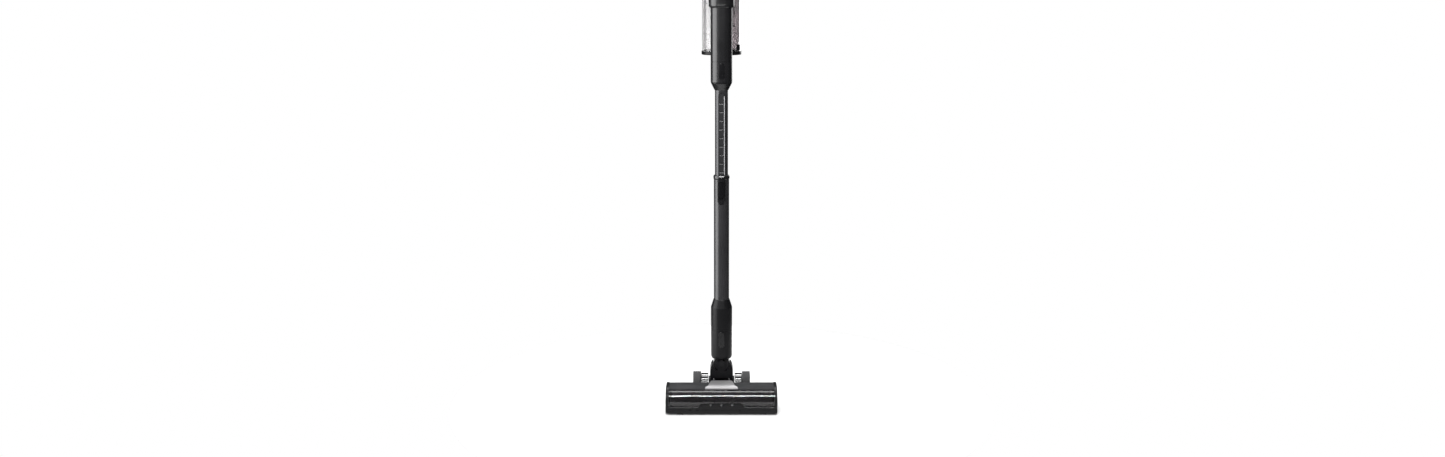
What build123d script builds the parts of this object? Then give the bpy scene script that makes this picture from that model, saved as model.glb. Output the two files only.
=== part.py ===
# Cordless stick vacuum: one set of subcomponents in one frame, millimetres.
# +Z up, +X right in the front view, the front faces -Y, floor at Z = 0.
import os
from build123d import *
from math import cos, sin, radians, sqrt, pi

os.makedirs("parts", exist_ok=True)

# ------------------------------------------------------------------ driving dimensions
YW = -20.0                       # wand axis
YR, ZR = YW - 78.0, 27.0         # brush roller axis
YP, ZP = YW + 2.0, 36.0          # pitch axis of the neck
YA, ZA = YW + 74.0, 22.0         # rear wheel axle
ZS = 90.5                        # swivel axis height
YB = YW + 71.0                   # dust bin and motor axis

HEAD_HALF = 125.0                # half width of the floor head
CAP_IN = 118.0                   # inner face of the end caps
R_WIN, R_WIN_IN = 31.0, 28.2     # roller window shell
R_CH = 27.6                      # roller chamber
R_BRUSH, R_CORE, R_CORE_IN = 25.0, 20.0, 16.6
SOLE_LO, SOLE_HI = 3.5, 6.0
BACK_W = YW - 34.0               # rear wall of the floor head

R_CON = 24.2                     # connector collars and inlet tube
R_SPIG, R_SOCK = 19.1, 19.5      # spigot and socket
R_OUT, R_OUT_IN = 17.25, 16.2    # outer wand tube
R_INN, R_INN_IN = 14.65, 12.4    # inner wand tube
Z_SEAM_LO, Z_SEAM_HI = 170.0, 783.0
Z_COLLAR = 517.0
NOTCH_TOP, NOTCH_STEP = 690.0, 19.4
CHANNEL_HALF, CHANNEL_FLOOR, CHANNEL_BACK = 7.2, 11.7, 10.2   # index channel of the inner tube

R_BIN, R_BIN_IN, R_RIM = 44.2, 42.0, 45.6
Z_BIN_LO, Z_BIN_HI = 803.2, 945.0
Z_LID = 794.5
R_MOT, R_MOT_IN = 40.0, 37.2
Z_MOT_LO, Z_MOT_HI = 945.5, 1030.0
R_FRONT = 28.5
BACK = 130.0                     # rearmost plane of the battery

CAP_PTS = [(-98, 59), (-62, 56.0), (-55.5, 53.5), (-53.6, 49), (-53.6, 6.5), (-56, 3.6), (-127, 3.6),
           (-130, 7), (-130, 27), (-98, 59)]


def arc_pt(r, deg):
    """Point on a circle about the roller axis; 0 is the front, 90 the top."""
    a = radians(deg)
    return (YR - r * cos(a), ZR + r * sin(a))


def save(builder, name):
    builder.part.label = name
    export_step(builder.part, "parts/" + name + ".step")
    print(name, round(builder.part.volume / 1000.0, 2), len(builder.part.solids()), flush=True)


# ================================================================== floor head
for sx, nm in ((-1, "end_cap_left"), (1, "end_cap_right")):
    with BuildPart() as cap:
        with BuildSketch(Plane.YZ.offset(sx * CAP_IN)):
            with Locations((YR, ZR)):
                Circle(32.0)
            with BuildLine():
                Polyline(*CAP_PTS)
            make_face()
            with Locations((YR, -20 + 3.6)):
                Rectangle(100, 40, mode=Mode.SUBTRACT)
        extrude(amount=sx * (HEAD_HALF - CAP_IN))
        fillet(cap.faces().filter_by(Axis.X).sort_by(Axis.X)[-1 if sx > 0 else 0].edges(), 2.4)
        # inward boss that carries the roller or its motor
        with BuildSketch(Plane.YZ.offset(sx * CAP_IN)):
            with Locations((YR, ZR)):
                Circle(12.0 if sx > 0 else 14.0)
        extrude(amount=-sx * (3.6 if sx > 0 else 3.0))
        if sx > 0:
            with BuildSketch(Plane.YZ.offset(sx * (CAP_IN - 3.6))):
                with Locations((YR, ZR)):
                    Circle(4.05)
            extrude(amount=sx * 8.0, mode=Mode.SUBTRACT)
        # shallow coin slot disc on the outside
        with BuildSketch(Plane.YZ.offset(sx * HEAD_HALF)):
            with Locations((YR, ZR)):
                Circle(11.0)
                Circle(9.6, mode=Mode.SUBTRACT)
        extrude(amount=-sx * 0.7, mode=Mode.SUBTRACT)
        with BuildSketch(Plane.YZ.offset(sx * HEAD_HALF)):
            with Locations((YR, ZR)):
                Rectangle(15, 2.2, rotation=35)
        extrude(amount=-sx * 1.6, mode=Mode.SUBTRACT)
    save(cap, nm)

with BuildPart() as head_housing:
    with BuildSketch(Plane.YZ.offset(-CAP_IN)):
        with BuildLine():
            l1 = Line(arc_pt(R_WIN_IN + 0.2, 62.5), arc_pt(R_WIN, 62.5))
            l2 = ThreePointArc(arc_pt(R_WIN, 62.5), arc_pt(R_WIN, 78), arc_pt(R_WIN, 91))
            y_low = YR + sqrt((R_WIN_IN + 0.2) ** 2 - (ZR - SOLE_HI) ** 2)
            l3 = Polyline(arc_pt(R_WIN, 91), (-62, 55.0), (-56.5, 52.5), (BACK_W, 48.5), (BACK_W, SOLE_HI),
                          (y_low, SOLE_HI))
            l5 = ThreePointArc((y_low, SOLE_HI), arc_pt(R_WIN_IN + 0.2, 150), arc_pt(R_WIN_IN + 0.2, 62.5))
        make_face()
    extrude(amount=2 * CAP_IN)
    # hollow rear cavity, open towards the sole
    for x0, x1 in ((-112, -34), (34, 112)):
        with BuildSketch(Plane.YZ.offset(x0)):
            with BuildLine():
                Polyline((-78, 2), (-56.8, 2), (-56.8, 47), (-60, 50.5), (-78, 52.2), (-78, 2))
            make_face()
            with Locations((YR, ZR)):
                Circle(R_WIN_IN + 3.0, mode=Mode.SUBTRACT)
        extrude(amount=x1 - x0, mode=Mode.SUBTRACT)
    # air duct to the neck
    with BuildSketch(Plane.YZ.offset(-13)):
        with Locations((-64, 33)):
            Rectangle(40, 21)
    extrude(amount=26, mode=Mode.SUBTRACT)
    # shadow groove above the window
    with BuildSketch(Plane.YZ.offset(-CAP_IN)):
        with Locations((YR, ZR)):
            Circle(R_WIN + 1)
            Circle(R_WIN - 0.9, mode=Mode.SUBTRACT)
        with BuildLine():
            Polyline((YR, ZR), arc_pt(60, 67.5), arc_pt(60, 69.0), (YR, ZR))
        make_face(mode=Mode.INTERSECT)
    extrude(amount=2 * CAP_IN, mode=Mode.SUBTRACT)
    # screw pillars for the sole
    with BuildSketch(Plane.XY.offset(SOLE_HI)):
        with Locations((-95, -62.5), (-50, -62.5), (50, -62.5), (95, -62.5)):
            Circle(3.6)
    extrude(amount=46.5, mode=Mode.ADD)
    with BuildSketch(Plane.XY.offset(SOLE_HI)):
        with Locations((-95, -62.5), (-50, -62.5), (50, -62.5), (95, -62.5)):
            Circle(1.25)
    extrude(amount=12, mode=Mode.SUBTRACT)
save(head_housing, "head_housing")

# bumper outline in the front view: raised in the middle
def bumper_mask(grow):
    zs, zm = 19.8 + grow, 28.4 + grow
    return [(-CAP_IN - 1, -2), (CAP_IN + 1, -2), (CAP_IN + 1, zs), (53 + grow * 0.5, zs), (44.5 + grow * 0.5, zm),
            (-44.5 - grow * 0.5, zm), (-53 - grow * 0.5, zs), (-CAP_IN - 1, zs), (-CAP_IN - 1, -2)]


with BuildPart() as head_window:
    with BuildSketch(Plane.YZ.offset(-CAP_IN)):
        with Locations((YR, ZR)):
            Circle(R_WIN)
            Circle(R_WIN_IN, mode=Mode.SUBTRACT)
        with BuildLine():
            Polyline((YR, ZR), arc_pt(70, 62.3), arc_pt(110, 30), arc_pt(110, -5), arc_pt(60, -25), (YR, ZR))
        make_face(mode=Mode.INTERSECT)
    extrude(amount=2 * CAP_IN)
    with BuildSketch(Plane.XZ.offset(90)):
        with BuildLine():
            Polyline(*bumper_mask(0.15))
        make_face()
    extrude(amount=60, mode=Mode.SUBTRACT)
save(head_window, "head_window")

with BuildPart() as front_bumper:
    with BuildSketch(Plane.YZ.offset(-CAP_IN)):
        with BuildLine():
            Polyline((-112.0, SOLE_LO), (-127.5, SOLE_LO), (-130, 6.5), (-130, 24), (-129.4, 29), (-112.0, 29),
                     (-112.0, SOLE_LO))
        make_face()
        with Locations((YR, ZR)):
            Circle(R_WIN_IN + 0.05, mode=Mode.SUBTRACT)
    extrude(amount=2 * CAP_IN)
    with BuildSketch(Plane.XZ.offset(90)):
        with BuildLine():
            Polyline(*bumper_mask(0.0))
        make_face()
    extrude(amount=60, mode=Mode.INTERSECT)
    # pockets of the small front rollers
    for x in (-93, 93):
        with Locations((x, -122.4, 4.0)):
            Box(15.2, 11.4, 15, mode=Mode.SUBTRACT)
        with Locations(Location((x, -122.4, 5.0), (0, 90, 0))):
            Cylinder(1.5, 21, mode=Mode.SUBTRACT)
    # hairline recess for the soft edge strip
    with BuildSketch(Plane.YZ.offset(-CAP_IN)):
        with Locations((-130, 12.5)):
            Rectangle(1.2, 1.2)
    extrude(amount=2 * CAP_IN, mode=Mode.SUBTRACT)
    # lamp seats in the raised middle
    for x in (-30, -6, 18):
        with Locations(Location((x + 6, -127.0, 24.2), (90, 0, 0))):
            Cylinder(2.3, 8, mode=Mode.SUBTRACT)
save(front_bumper, "front_bumper")

with BuildPart() as head_lamps:
    for x in (-30, -6, 18):
        with Locations(Location((x + 6, -127.7, 24.2), (90, 0, 0))):
            Cylinder(2.3, 3.4)
save(head_lamps, "head_lamps")

with BuildPart() as centre_bridge:
    # glossy raised bridge over the middle of the head
    with BuildSketch(Plane.YZ.offset(-40)):
        with BuildLine():
            a1 = Polyline(arc_pt(R_WIN + 0.05, 64.5), arc_pt(33.2, 66.5), arc_pt(34.3, 72), arc_pt(34.6, 80), (-94, 61.8),
                          (-72, 60.6), (-58.5, 58.2), (-54.6, 54.0), (BACK_W, 48.8), (-56.4, 52.57), (-62, 55.05),
                          arc_pt(R_WIN + 0.05, 91))
            a2 = ThreePointArc(arc_pt(R_WIN + 0.05, 91), arc_pt(R_WIN + 0.05, 78), arc_pt(R_WIN + 0.05, 64.5))
        make_face()
    extrude(amount=80)
    with BuildSketch(Plane.XY.offset(40)):
        with BuildLine():
            Polyline((-37.5, -116), (37.5, -116), (36, -109), (30, -104), (21.5, -53.5), (-21.5, -53.5), (-30, -104),
                     (-36, -109), (-37.5, -116))
        make_face()
    extrude(amount=40, mode=Mode.INTERSECT)
save(centre_bridge, "centre_bridge")

with BuildPart() as sole_plate:
    with BuildSketch(Plane.XY.offset(SOLE_LO)):
        with Locations((0, (-78 + BACK_W) / 2)):
            Rectangle(2 * CAP_IN - 0.2, abs(-78 - BACK_W))
        for sx in (-1, 1):
            with Locations((sx * 116.2, -94)):
                Rectangle(3.4, 36)
    extrude(amount=SOLE_HI - SOLE_LO)
    # bristle channel and counterbored screw holes
    with BuildSketch(Plane.XY.offset(SOLE_LO)):
        with Locations((0, -72.5)):
            Rectangle(206, 3.2)
    extrude(amount=1.4, mode=Mode.SUBTRACT)
    with BuildSketch(Plane.XY.offset(SOLE_LO)):
        with Locations((-95, -62.5), (-50, -62.5), (50, -62.5), (95, -62.5)):
            Circle(1.25)
    extrude(amount=3, mode=Mode.SUBTRACT)
    with BuildSketch(Plane.XY.offset(SOLE_LO)):
        with Locations((-95, -62.5), (-50, -62.5), (50, -62.5), (95, -62.5)):
            Circle(2.7)
    extrude(amount=1.5, mode=Mode.SUBTRACT)
    # two gliding pads
    with BuildSketch(Plane.XY.offset(SOLE_LO)):
        with Locations((-39, -64), (39, -64)):
            SlotOverall(11.6, 5, rotation=90)
    extrude(amount=-1.6)
save(sole_plate, "sole_plate")

with BuildPart() as rear_bristle_strip:
    with BuildSketch(Plane.XY.offset(1.0)):
        with Locations((0, -72.5)):
            Rectangle(204, 3.1)
    extrude(amount=3.9)
save(rear_bristle_strip, "rear_bristle_strip")

with BuildPart() as sole_screws:
    with BuildSketch(Plane.XY.offset(SOLE_LO + 0.2)):
        with Locations((-95, -62.5), (-50, -62.5), (50, -62.5), (95, -62.5)):
            Circle(2.6)
    extrude(amount=1.3)
    with BuildSketch(Plane.XY.offset(SOLE_LO + 1.4)):
        with Locations((-95, -62.5), (-50, -62.5), (50, -62.5), (95, -62.5)):
            Circle(1.25)
    extrude(amount=12)
    with BuildSketch(Plane.XY.offset(SOLE_LO + 0.2)):
        with Locations((-95, -62.5), (-50, -62.5), (50, -62.5), (95, -62.5)):
            RegularPolygon(1.3, 6)
    extrude(amount=0.9, mode=Mode.SUBTRACT)
save(sole_screws, "sole_screws")

# ------------------------------------------------------------------ brush roller and its motor
with BuildPart() as head_motor:
    with Locations(Location((-75.1, YR, ZR), (0, 90, 0))):
        Cylinder(13.5, 79.8)                       # can, X -115 .. -35.2
    with Locations(Location((-32.6, YR, ZR), (0, 90, 0))):
        Cylinder(7.0, 5.2)
    with Locations(Location((-25, YR, ZR), (0, 90, 0))):
        Cylinder(3.0, 20)                          # output shaft
    with Locations(Location((-109, YR, ZR), (0, 90, 0))):
        Cylinder(16.52, 4)                         # bearing the open end of the core runs on
save(head_motor, "head_motor")

with BuildPart() as roller_core:
    with BuildSketch(Plane.YZ.offset(-113.0)):
        with Locations((YR, ZR)):
            Circle(R_CORE)
            Circle(R_CORE_IN, mode=Mode.SUBTRACT)
    extrude(amount=226.4)
    with BuildSketch(Plane.YZ.offset(-28)):        # driven web
        with Locations((YR, ZR)):
            Circle(R_CORE_IN + 0.5)
            Circle(3.05, mode=Mode.SUBTRACT)
    extrude(amount=8)
    with BuildSketch(Plane.YZ.offset(107.4)):      # right end disc and journal
        with Locations((YR, ZR)):
            Circle(R_CORE_IN + 0.5)
    extrude(amount=6)
    with BuildSketch(Plane.YZ.offset(113.0)):
        with Locations((YR, ZR)):
            Circle(4.0)
    extrude(amount=8.6)
save(roller_core, "roller_core")

with BuildPart() as roller_fabric:
    with BuildSketch(Plane.YZ.offset(-112.6)):
        with Locations((YR, ZR)):
            Circle(R_BRUSH)
            Circle(R_CORE, mode=Mode.SUBTRACT)
    extrude(amount=225.2)
    fillet(roller_fabric.edges().filter_by(GeomType.CIRCLE).sort_by(SortBy.RADIUS)[-2:], 1.6)
save(roller_fabric, "roller_fabric")

# ------------------------------------------------------------------ rear chassis, wheels, front rollers
for sx, nm in ((-1, "tail_arm_left"), (1, "tail_arm_right")):
    with BuildPart() as arm:
        with BuildSketch(Plane.YZ.offset(31.0)):
            with BuildLine():
                Polyline((BACK_W, 6), (BACK_W, 49.0), (-44, 48.4), (-20, 41.5), (28, 28.5), (46, 30), (54, 22), (54, 4),
                         (40, 4.6), (BACK_W, 6))
            make_face()
            with Locations((YA, ZA)):
                Circle(18.0)
        extrude(amount=17.0)
        fillet(arm.faces().filter_by(Axis.X).sort_by(Axis.X)[-1].edges().filter_by(
            lambda e: e.center().Y > BACK_W + 2), 1.5)
        fillet(arm.faces().filter_by(Axis.X).sort_by(Axis.X)[0].edges().filter_by(
            lambda e: e.center().Y > BACK_W + 2), 0.8)
        with Locations(Location((41.0, YA, ZA), (0, 90, 0))):
            Cylinder(3.0, 20, mode=Mode.SUBTRACT)
        if sx < 0:
            mirror(about=Plane.YZ, mode=Mode.REPLACE)
    save(arm, nm)

with BuildPart() as axle_pins:
    for sx in (-1, 1):
        with Locations(Location((sx * 51.0, YA, ZA), (0, 90, 0))):
            Cylinder(3.0, 30)                       # |X| 36 .. 66
    for sx in (-1, 1):
        with Locations(Location((sx * 93, YR - 24.4, 5.0), (0, 90, 0))):
            Cylinder(1.5, 20.6)
save(axle_pins, "axle_pins")

for sx, side in ((-1, "left"), (1, "right")):
    with BuildPart() as wheel:
        with BuildSketch(Plane.YZ.offset(48.5)):
            with Locations((YA, ZA)):
                Circle(18.6)
                Circle(3.05, mode=Mode.SUBTRACT)
        extrude(amount=18.2)
        # dished outer face with five ribs, closed hub cap
        with BuildSketch(Plane.YZ.offset(66.7)):
            with Locations((YA, ZA)):
                Circle(15.6)
                Circle(6.2, mode=Mode.SUBTRACT)
                with PolarLocations(0, 5):
                    with Locations((11, 0)):
                        Rectangle(12, 2.2, mode=Mode.SUBTRACT)
        extrude(amount=-6, mode=Mode.SUBTRACT)
        with BuildSketch(Plane.YZ.offset(66.4)):
            with Locations((YA, ZA)):
                Circle(5.2)
        extrude(amount=1.0)
        if sx < 0:
            mirror(about=Plane.YZ, mode=Mode.REPLACE)
    save(wheel, "rear_wheel_" + side)
    with BuildPart() as tyre:
        with BuildSketch(Plane.YZ.offset(48.7)):
            with Locations((YA, ZA)):
                Circle(ZA)
                Circle(18.6, mode=Mode.SUBTRACT)
        extrude(amount=18.4)
        fillet(tyre.edges().filter_by(GeomType.CIRCLE).filter_by(lambda e: e.radius > 20).sort_by(Axis.X)[-1:], 3.0)
        fillet(tyre.edges().filter_by(GeomType.CIRCLE).filter_by(lambda e: e.radius > 20).sort_by(Axis.X)[:1], 1.2)
        if sx < 0:
            mirror(about=Plane.YZ, mode=Mode.REPLACE)
    save(tyre, "rear_tyre_" + side)
    with BuildPart() as roller:
        with BuildSketch(Plane.YZ.offset(sx * 93 - 7)):
            with Locations((YR - 24.4, 5.0)):
                Circle(5.0)
                Circle(1.55, mode=Mode.SUBTRACT)
        extrude(amount=14)
        fillet(roller.edges().filter_by(GeomType.CIRCLE).filter_by(lambda e: e.radius > 4), 0.8)
    save(roller, "front_roller_" + side)

# ------------------------------------------------------------------ neck: ears, pitch pins, yoke, swivel pins
with BuildPart() as neck_ears:
    with BuildSketch(Plane.YZ.offset(-29.5)):
        with BuildLine():
            Polyline((BACK_W, 8), (BACK_W, 48.6), (-46, 51.5), (-30, 53.0), (YP, ZP), (-24, 17), (-34, 10), (BACK_W, 8))
        make_face()
        with Locations((YP, ZP)):
            Circle(20.0)
    extrude(amount=59.0)
    # room for the barrel between the ears
    with BuildSketch(Plane.YZ.offset(-18.0)):
        with Locations((YP, ZP)):
            Circle(17.6)
        with BuildLine():
            Polyline((-36, 49.0), (-36.5, 70), (20, 70), (20, 0), (-27, 0), (-27, ZP), (-36, 49.0))
        make_face()
    extrude(amount=36.0, mode=Mode.SUBTRACT)
    with BuildSketch(Plane.YZ.offset(-13)):
        with Locations((-45, 33)):
            Rectangle(20, 21)
    extrude(amount=26, mode=Mode.SUBTRACT)
    with Locations(Location((0, YP, ZP), (0, 90, 0))):
        Cylinder(4.0, 60, mode=Mode.SUBTRACT)
save(neck_ears, "neck_ears")

with BuildPart() as pitch_pins:
    for sx in (-1, 1):
        with Locations(Location((sx * 21.2, YP, ZP), (0, 90, 0))):
            Cylinder(4.0, 15.6)                     # |X| 13.4 .. 29.0
save(pitch_pins, "pitch_pins")

with BuildPart() as neck_yoke:
    with Locations(Location((0, YP, ZP), (0, 90, 0))):
        Cylinder(17.0, 35.0)
    # stem from the barrel to the fork
    with BuildSketch(Plane.XY.offset(ZP)):
        with Locations((0, YP)):
            Rectangle(35.0, 29.0)
    extrude(amount=22.5)
    # fork body, outline drawn in the front view
    with BuildSketch(Plane.XZ.offset(-(YW + 19))):
        with Locations((0, 74)):
            Circle(26.3)
        with Locations((0, 65.5)):
            Rectangle(52.6, 17)
        with BuildLine():
            Polyline((-60, 57), (60, 57), (60, 90.5), (-60, 90.5), (-60, 57))
        make_face(mode=Mode.INTERSECT)
    extrude(amount=38)
    fillet(neck_yoke.edges().filter_by(GeomType.CIRCLE).filter_by(
        lambda e: abs(e.radius - 26.3) < 0.01), 2.0)
    # round clearance for the wand side drum
    with BuildSketch(Plane.XZ.offset(-(YW + 25))):
        with Locations((0, ZS)):
            Circle(18.7)
    extrude(amount=50, mode=Mode.SUBTRACT)
    # front and rear cheeks with round bosses
    for y0 in (YW - 13.4, YW + 19.0):
        with BuildSketch(Plane.XZ.offset(-y0)):
            with Locations((0, ZS)):
                Circle(9.3)
            with Locations((0, 79.5)):
                Rectangle(18.6, 22)
        extrude(amount=5.6)
    with Locations(Location((0, YW, ZS), (90, 0, 0))):
        Cylinder(5.0, 60, mode=Mode.SUBTRACT)
    # air passage: front slot, hollow barrel, vertical duct
    with Locations(Location((0, YP, ZP), (0, 90, 0))):
        Cylinder(12.0, 25.0, mode=Mode.SUBTRACT)
    with Locations((0, YP - 12, 33)):
        Box(24, 16, 17, mode=Mode.SUBTRACT)
    with Locations((0, YW, 58)):
        Cylinder(10.0, 46, mode=Mode.SUBTRACT)
    with Locations(Location((0, YP, ZP), (0, 90, 0))):
        Cylinder(4.05, 60, mode=Mode.SUBTRACT)
save(neck_yoke, "neck_yoke")

with BuildPart() as swivel_pins:
    for sy in (-1, 1):
        with Locations(Location((0, YW + sy * 14.2, ZS), (90, 0, 0))):
            Cylinder(5.0, 9.2)                      # 9.6 .. 18.8 from the axis
save(swivel_pins, "swivel_pins")

# ------------------------------------------------------------------ head connector and the wand
with BuildPart() as head_connector:
    with BuildSketch(Plane.XZ):
        with BuildLine():
            Polyline((9.0, 101.0), (20.3, 101.0), (22.1, 101.8), (23.5, 104.2), (R_CON, 107.5), (R_CON, Z_SEAM_LO - 0.2),
                     (R_SOCK, Z_SEAM_LO - 0.2), (R_SOCK, 115.5), (14.5, 115.5), (9.0, 107.0), (9.0, 101.0))
        make_face()
    revolve(axis=Axis.Z)
    # drum of the swivel and its short neck
    with Locations(Location((0, 0, ZS), (90, 0, 0))):
        Cylinder(18.0, 26.0)
    with Locations((0, 0, 96.0)):
        Box(30, 26, 12)
    with Locations((0, 0, 90)):
        Cylinder(9.0, 44, mode=Mode.SUBTRACT)
    with Locations(Location((0, 0, ZS), (90, 0, 0))):
        Cylinder(5.05, 60, mode=Mode.SUBTRACT)
    # button pocket in the front wall
    with BuildSketch(Plane.XZ.offset(20.6)):
        with Locations((0, 149)):
            SlotOverall(37.0, 14.0, rotation=90)
    extrude(amount=10, mode=Mode.SUBTRACT)
    add(head_connector.part.moved(Location((0, YW, 0))), mode=Mode.REPLACE)
save(head_connector, "head_connector")


def oval_button(zc, length, width):
    with BuildPart() as b:
        with BuildSketch(Plane.XZ.offset(22.7)):
            with Locations((0, zc)):
                SlotOverall(length, width, rotation=90)
        extrude(amount=6)
        with BuildSketch(Plane.XY.offset(zc - 30)):
            Circle(25.5)
        extrude(amount=60, mode=Mode.INTERSECT)
        fillet(b.faces().filter_by(GeomType.CYLINDER).filter_by(
            lambda f: abs(f.radius - 25.5) < 0.01).edges(), 0.5)
        # finger ridges
        with BuildSketch(Plane.XZ.offset(25.2)):
            with GridLocations(1, 3.2, 1, 5):
                with Locations((0, zc - length * 0.18)):
                    Rectangle(width * 0.5, 0.9)
        extrude(amount=3, mode=Mode.SUBTRACT)
        add(b.part.moved(Location((0, YW, 0))), mode=Mode.REPLACE)
    return b


save(oval_button(149.0, 36.4, 13.4), "head_release_button")

with BuildPart() as wand_sleeve:
    with BuildSketch(Plane.XZ):
        with BuildLine():
            Polyline((14.5, 118.0), (18.3, 118.0), (R_SPIG, 119.5), (R_SPIG, Z_SEAM_LO + 0.2), (R_CON, Z_SEAM_LO + 0.2),
                     (R_CON, 221.2), (22.8, 225.5), (18.4, 239.2), (17.9, 240.0), (R_OUT, 240.0), (R_OUT, 185.0),
                     (14.5, 185.0), (14.5, 118.0))
        make_face()
    revolve(axis=Axis.Z)
    # catch recess the release button locks into
    with BuildSketch(Plane.XZ.offset(17.6)):
        with Locations((0, 149)):
            Rectangle(8, 10)
    extrude(amount=4, mode=Mode.SUBTRACT)
    add(wand_sleeve.part.moved(Location((0, YW, 0))), mode=Mode.REPLACE)
save(wand_sleeve, "wand_sleeve")

with BuildPart() as outer_tube:
    with BuildSketch(Plane.XY.offset(185.0)):
        Circle(R_OUT)
        Circle(R_OUT_IN, mode=Mode.SUBTRACT)
    extrude(amount=Z_COLLAR - 185.0)
    with BuildSketch(Plane.XZ.offset(10)):
        with Locations((0, 496)):
            SlotOverall(17, 8.4, rotation=90)
    extrude(amount=15, mode=Mode.SUBTRACT)
    add(outer_tube.part.moved(Location((0, YW, 0))), mode=Mode.REPLACE)
save(outer_tube, "outer_tube")

with BuildPart() as tube_collar:
    with BuildSketch(Plane.XZ):
        with BuildLine():
            Polyline((14.95, 505.0), (R_OUT_IN, 505.0), (R_OUT_IN, Z_COLLAR), (17.3, Z_COLLAR), (18.3, 519.6), (18.3, 523.4),
                     (17.4, 525.7), (16.6, 526.2), (14.95, 526.2), (14.95, 505.0))
        make_face()
    revolve(axis=Axis.Z)
    # slider track on the front of the tube
    with BuildSketch(Plane.XZ):
        with BuildLine():
            Polyline((-9.2, 517.4), (9.2, 517.4), (9.2, 474), (3, 462.5), (-5, 462.5), (-9.2, 468), (-9.2, 517.4))
        make_face()
    extrude(amount=20.6)
    with BuildSketch(Plane.XY.offset(440)):
        Circle(R_OUT)
    extrude(amount=Z_COLLAR - 440, mode=Mode.SUBTRACT)
    with BuildSketch(Plane.XY.offset(500)):
        Circle(14.95)
    extrude(amount=30, mode=Mode.SUBTRACT)
    with BuildSketch(Plane.XY.offset(460)):
        Circle(20.4)
    extrude(amount=70, mode=Mode.INTERSECT)
    with BuildSketch(Plane.XY.offset(505)):
        Circle(R_OUT_IN)
        Circle(14.95, mode=Mode.SUBTRACT)
    extrude(amount=12)
    # recess for the slider and a window for the pawl
    with BuildSketch(Plane.XZ.offset(18.3)):
        with Locations((0, 490.5)):
            Rectangle(14.4, 44)
    extrude(amount=4, mode=Mode.SUBTRACT)
    with BuildSketch(Plane.XZ.offset(16.5)):
        with Locations((0, 496)):
            Rectangle(8.0, 10.5)
    extrude(amount=4, mode=Mode.SUBTRACT)
    add(tube_collar.part.moved(Location((0, YW, 0))), mode=Mode.REPLACE)
save(tube_collar, "tube_collar")

with BuildPart() as length_slider:
    with BuildSketch(Plane.XZ.offset(18.7)):
        with BuildLine():
            Polyline((-6.7, 511.0), (6.7, 511.0), (6.7, 482), (1.5, 475.5), (-4.0, 475.5), (-6.7, 479.5), (-6.7, 511.0))
        make_face()
    extrude(amount=3.6)
    with BuildSketch(Plane.XY.offset(460)):
        Circle(22.0)
    extrude(amount=70, mode=Mode.INTERSECT)
    with BuildSketch(Plane.XZ.offset(21.5)):
        with Locations((0, 494)):
            with GridLocations(1, 3.4, 1, 6):
                Rectangle(8.5, 1.1)
    extrude(amount=3, mode=Mode.SUBTRACT)
    add(length_slider.part.moved(Location((0, YW, 0))), mode=Mode.REPLACE)
save(length_slider, "length_slider")

with BuildPart() as lock_pawl:
    with Locations((0, YW - 14.1, 496)):
        Box(6.6, 4.0, 7.0)
    chamfer(lock_pawl.faces().sort_by(Axis.Y)[-1].edges().filter_by(Axis.X), 0.9)
save(lock_pawl, "lock_pawl")

with BuildPart() as inner_tube:
    with BuildSketch(Plane.XY.offset(440.0)):
        Circle(R_INN)
        Circle(R_INN_IN, mode=Mode.SUBTRACT)
    extrude(amount=300.0)
    # thicker wall behind the index channel
    with BuildSketch(Plane.XY.offset(440.0)):
        Circle(R_INN_IN + 0.6)
        with Locations((0, 0)):
            Rectangle(2 * R_INN_IN + 4, 2 * CHANNEL_BACK, mode=Mode.SUBTRACT)
        with Locations((0, 20)):
            Rectangle(60, 40, mode=Mode.SUBTRACT)
    extrude(amount=300.0)
    # index channel on the front, with notches
    with BuildSketch(Plane.XZ.offset(CHANNEL_FLOOR)):
        with Locations((0, 576)):
            SlotOverall(276, 2 * CHANNEL_HALF, rotation=90)
    extrude(amount=4, mode=Mode.SUBTRACT)
    with BuildSketch(Plane.XZ.offset(CHANNEL_FLOOR - 0.7)):
        for k in range(13):
            with Locations((0.6, NOTCH_TOP - NOTCH_STEP * k)):
                Rectangle(8.4, 3.0)
    extrude(amount=4, mode=Mode.SUBTRACT)
    add(inner_tube.part.moved(Location((0, YW, 0))), mode=Mode.REPLACE)
save(inner_tube, "inner_tube")

with BuildPart() as upper_connector:
    with BuildSketch(Plane.XZ):
        with BuildLine():
            Polyline((R_INN, 718.8), (15.4, 718.8), (16.4, 720.4), (23.0, 733.6), (R_CON, 737.5), (R_CON, Z_SEAM_HI - 0.2),
                     (R_SPIG, Z_SEAM_HI - 0.2), (R_SPIG, 832.0), (18.2, 834.0), (14.5, 834.0), (14.5, 752.0),
                     (13.0, 740.0), (R_INN, 740.0), (R_INN, 718.8))
        make_face()
    revolve(axis=Axis.Z)
    with BuildSketch(Plane.XZ.offset(20.6)):
        with Locations((0, 762)):
            SlotOverall(35.0, 13.0, rotation=90)
    extrude(amount=10, mode=Mode.SUBTRACT)
    add(upper_connector.part.moved(Location((0, YW, 0))), mode=Mode.REPLACE)
save(upper_connector, "upper_connector")

save(oval_button(762.0, 34.4, 12.4), "wand_release_button")

# ================================================================== handheld unit
with BuildPart() as inlet_tube:
    with BuildSketch(Plane.XZ):
        with BuildLine():
            Polyline((R_SOCK, Z_SEAM_HI + 0.2), (R_CON, Z_SEAM_HI + 0.2), (R_CON, 902.0), (15.0, 902.0), (15.0, 845.0),
                     (R_SOCK, 838.0), (R_SOCK, Z_SEAM_HI + 0.2))
        make_face()
    revolve(axis=Axis.Z)
    with BuildSketch(Plane.XZ.offset(17.6)):
        with Locations((0, 806)):
            Rectangle(8, 10)
    extrude(amount=3.2, mode=Mode.SUBTRACT)
    add(inlet_tube.part.moved(Location((0, YW, 0))), mode=Mode.REPLACE)
save(inlet_tube, "inlet_tube")

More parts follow.
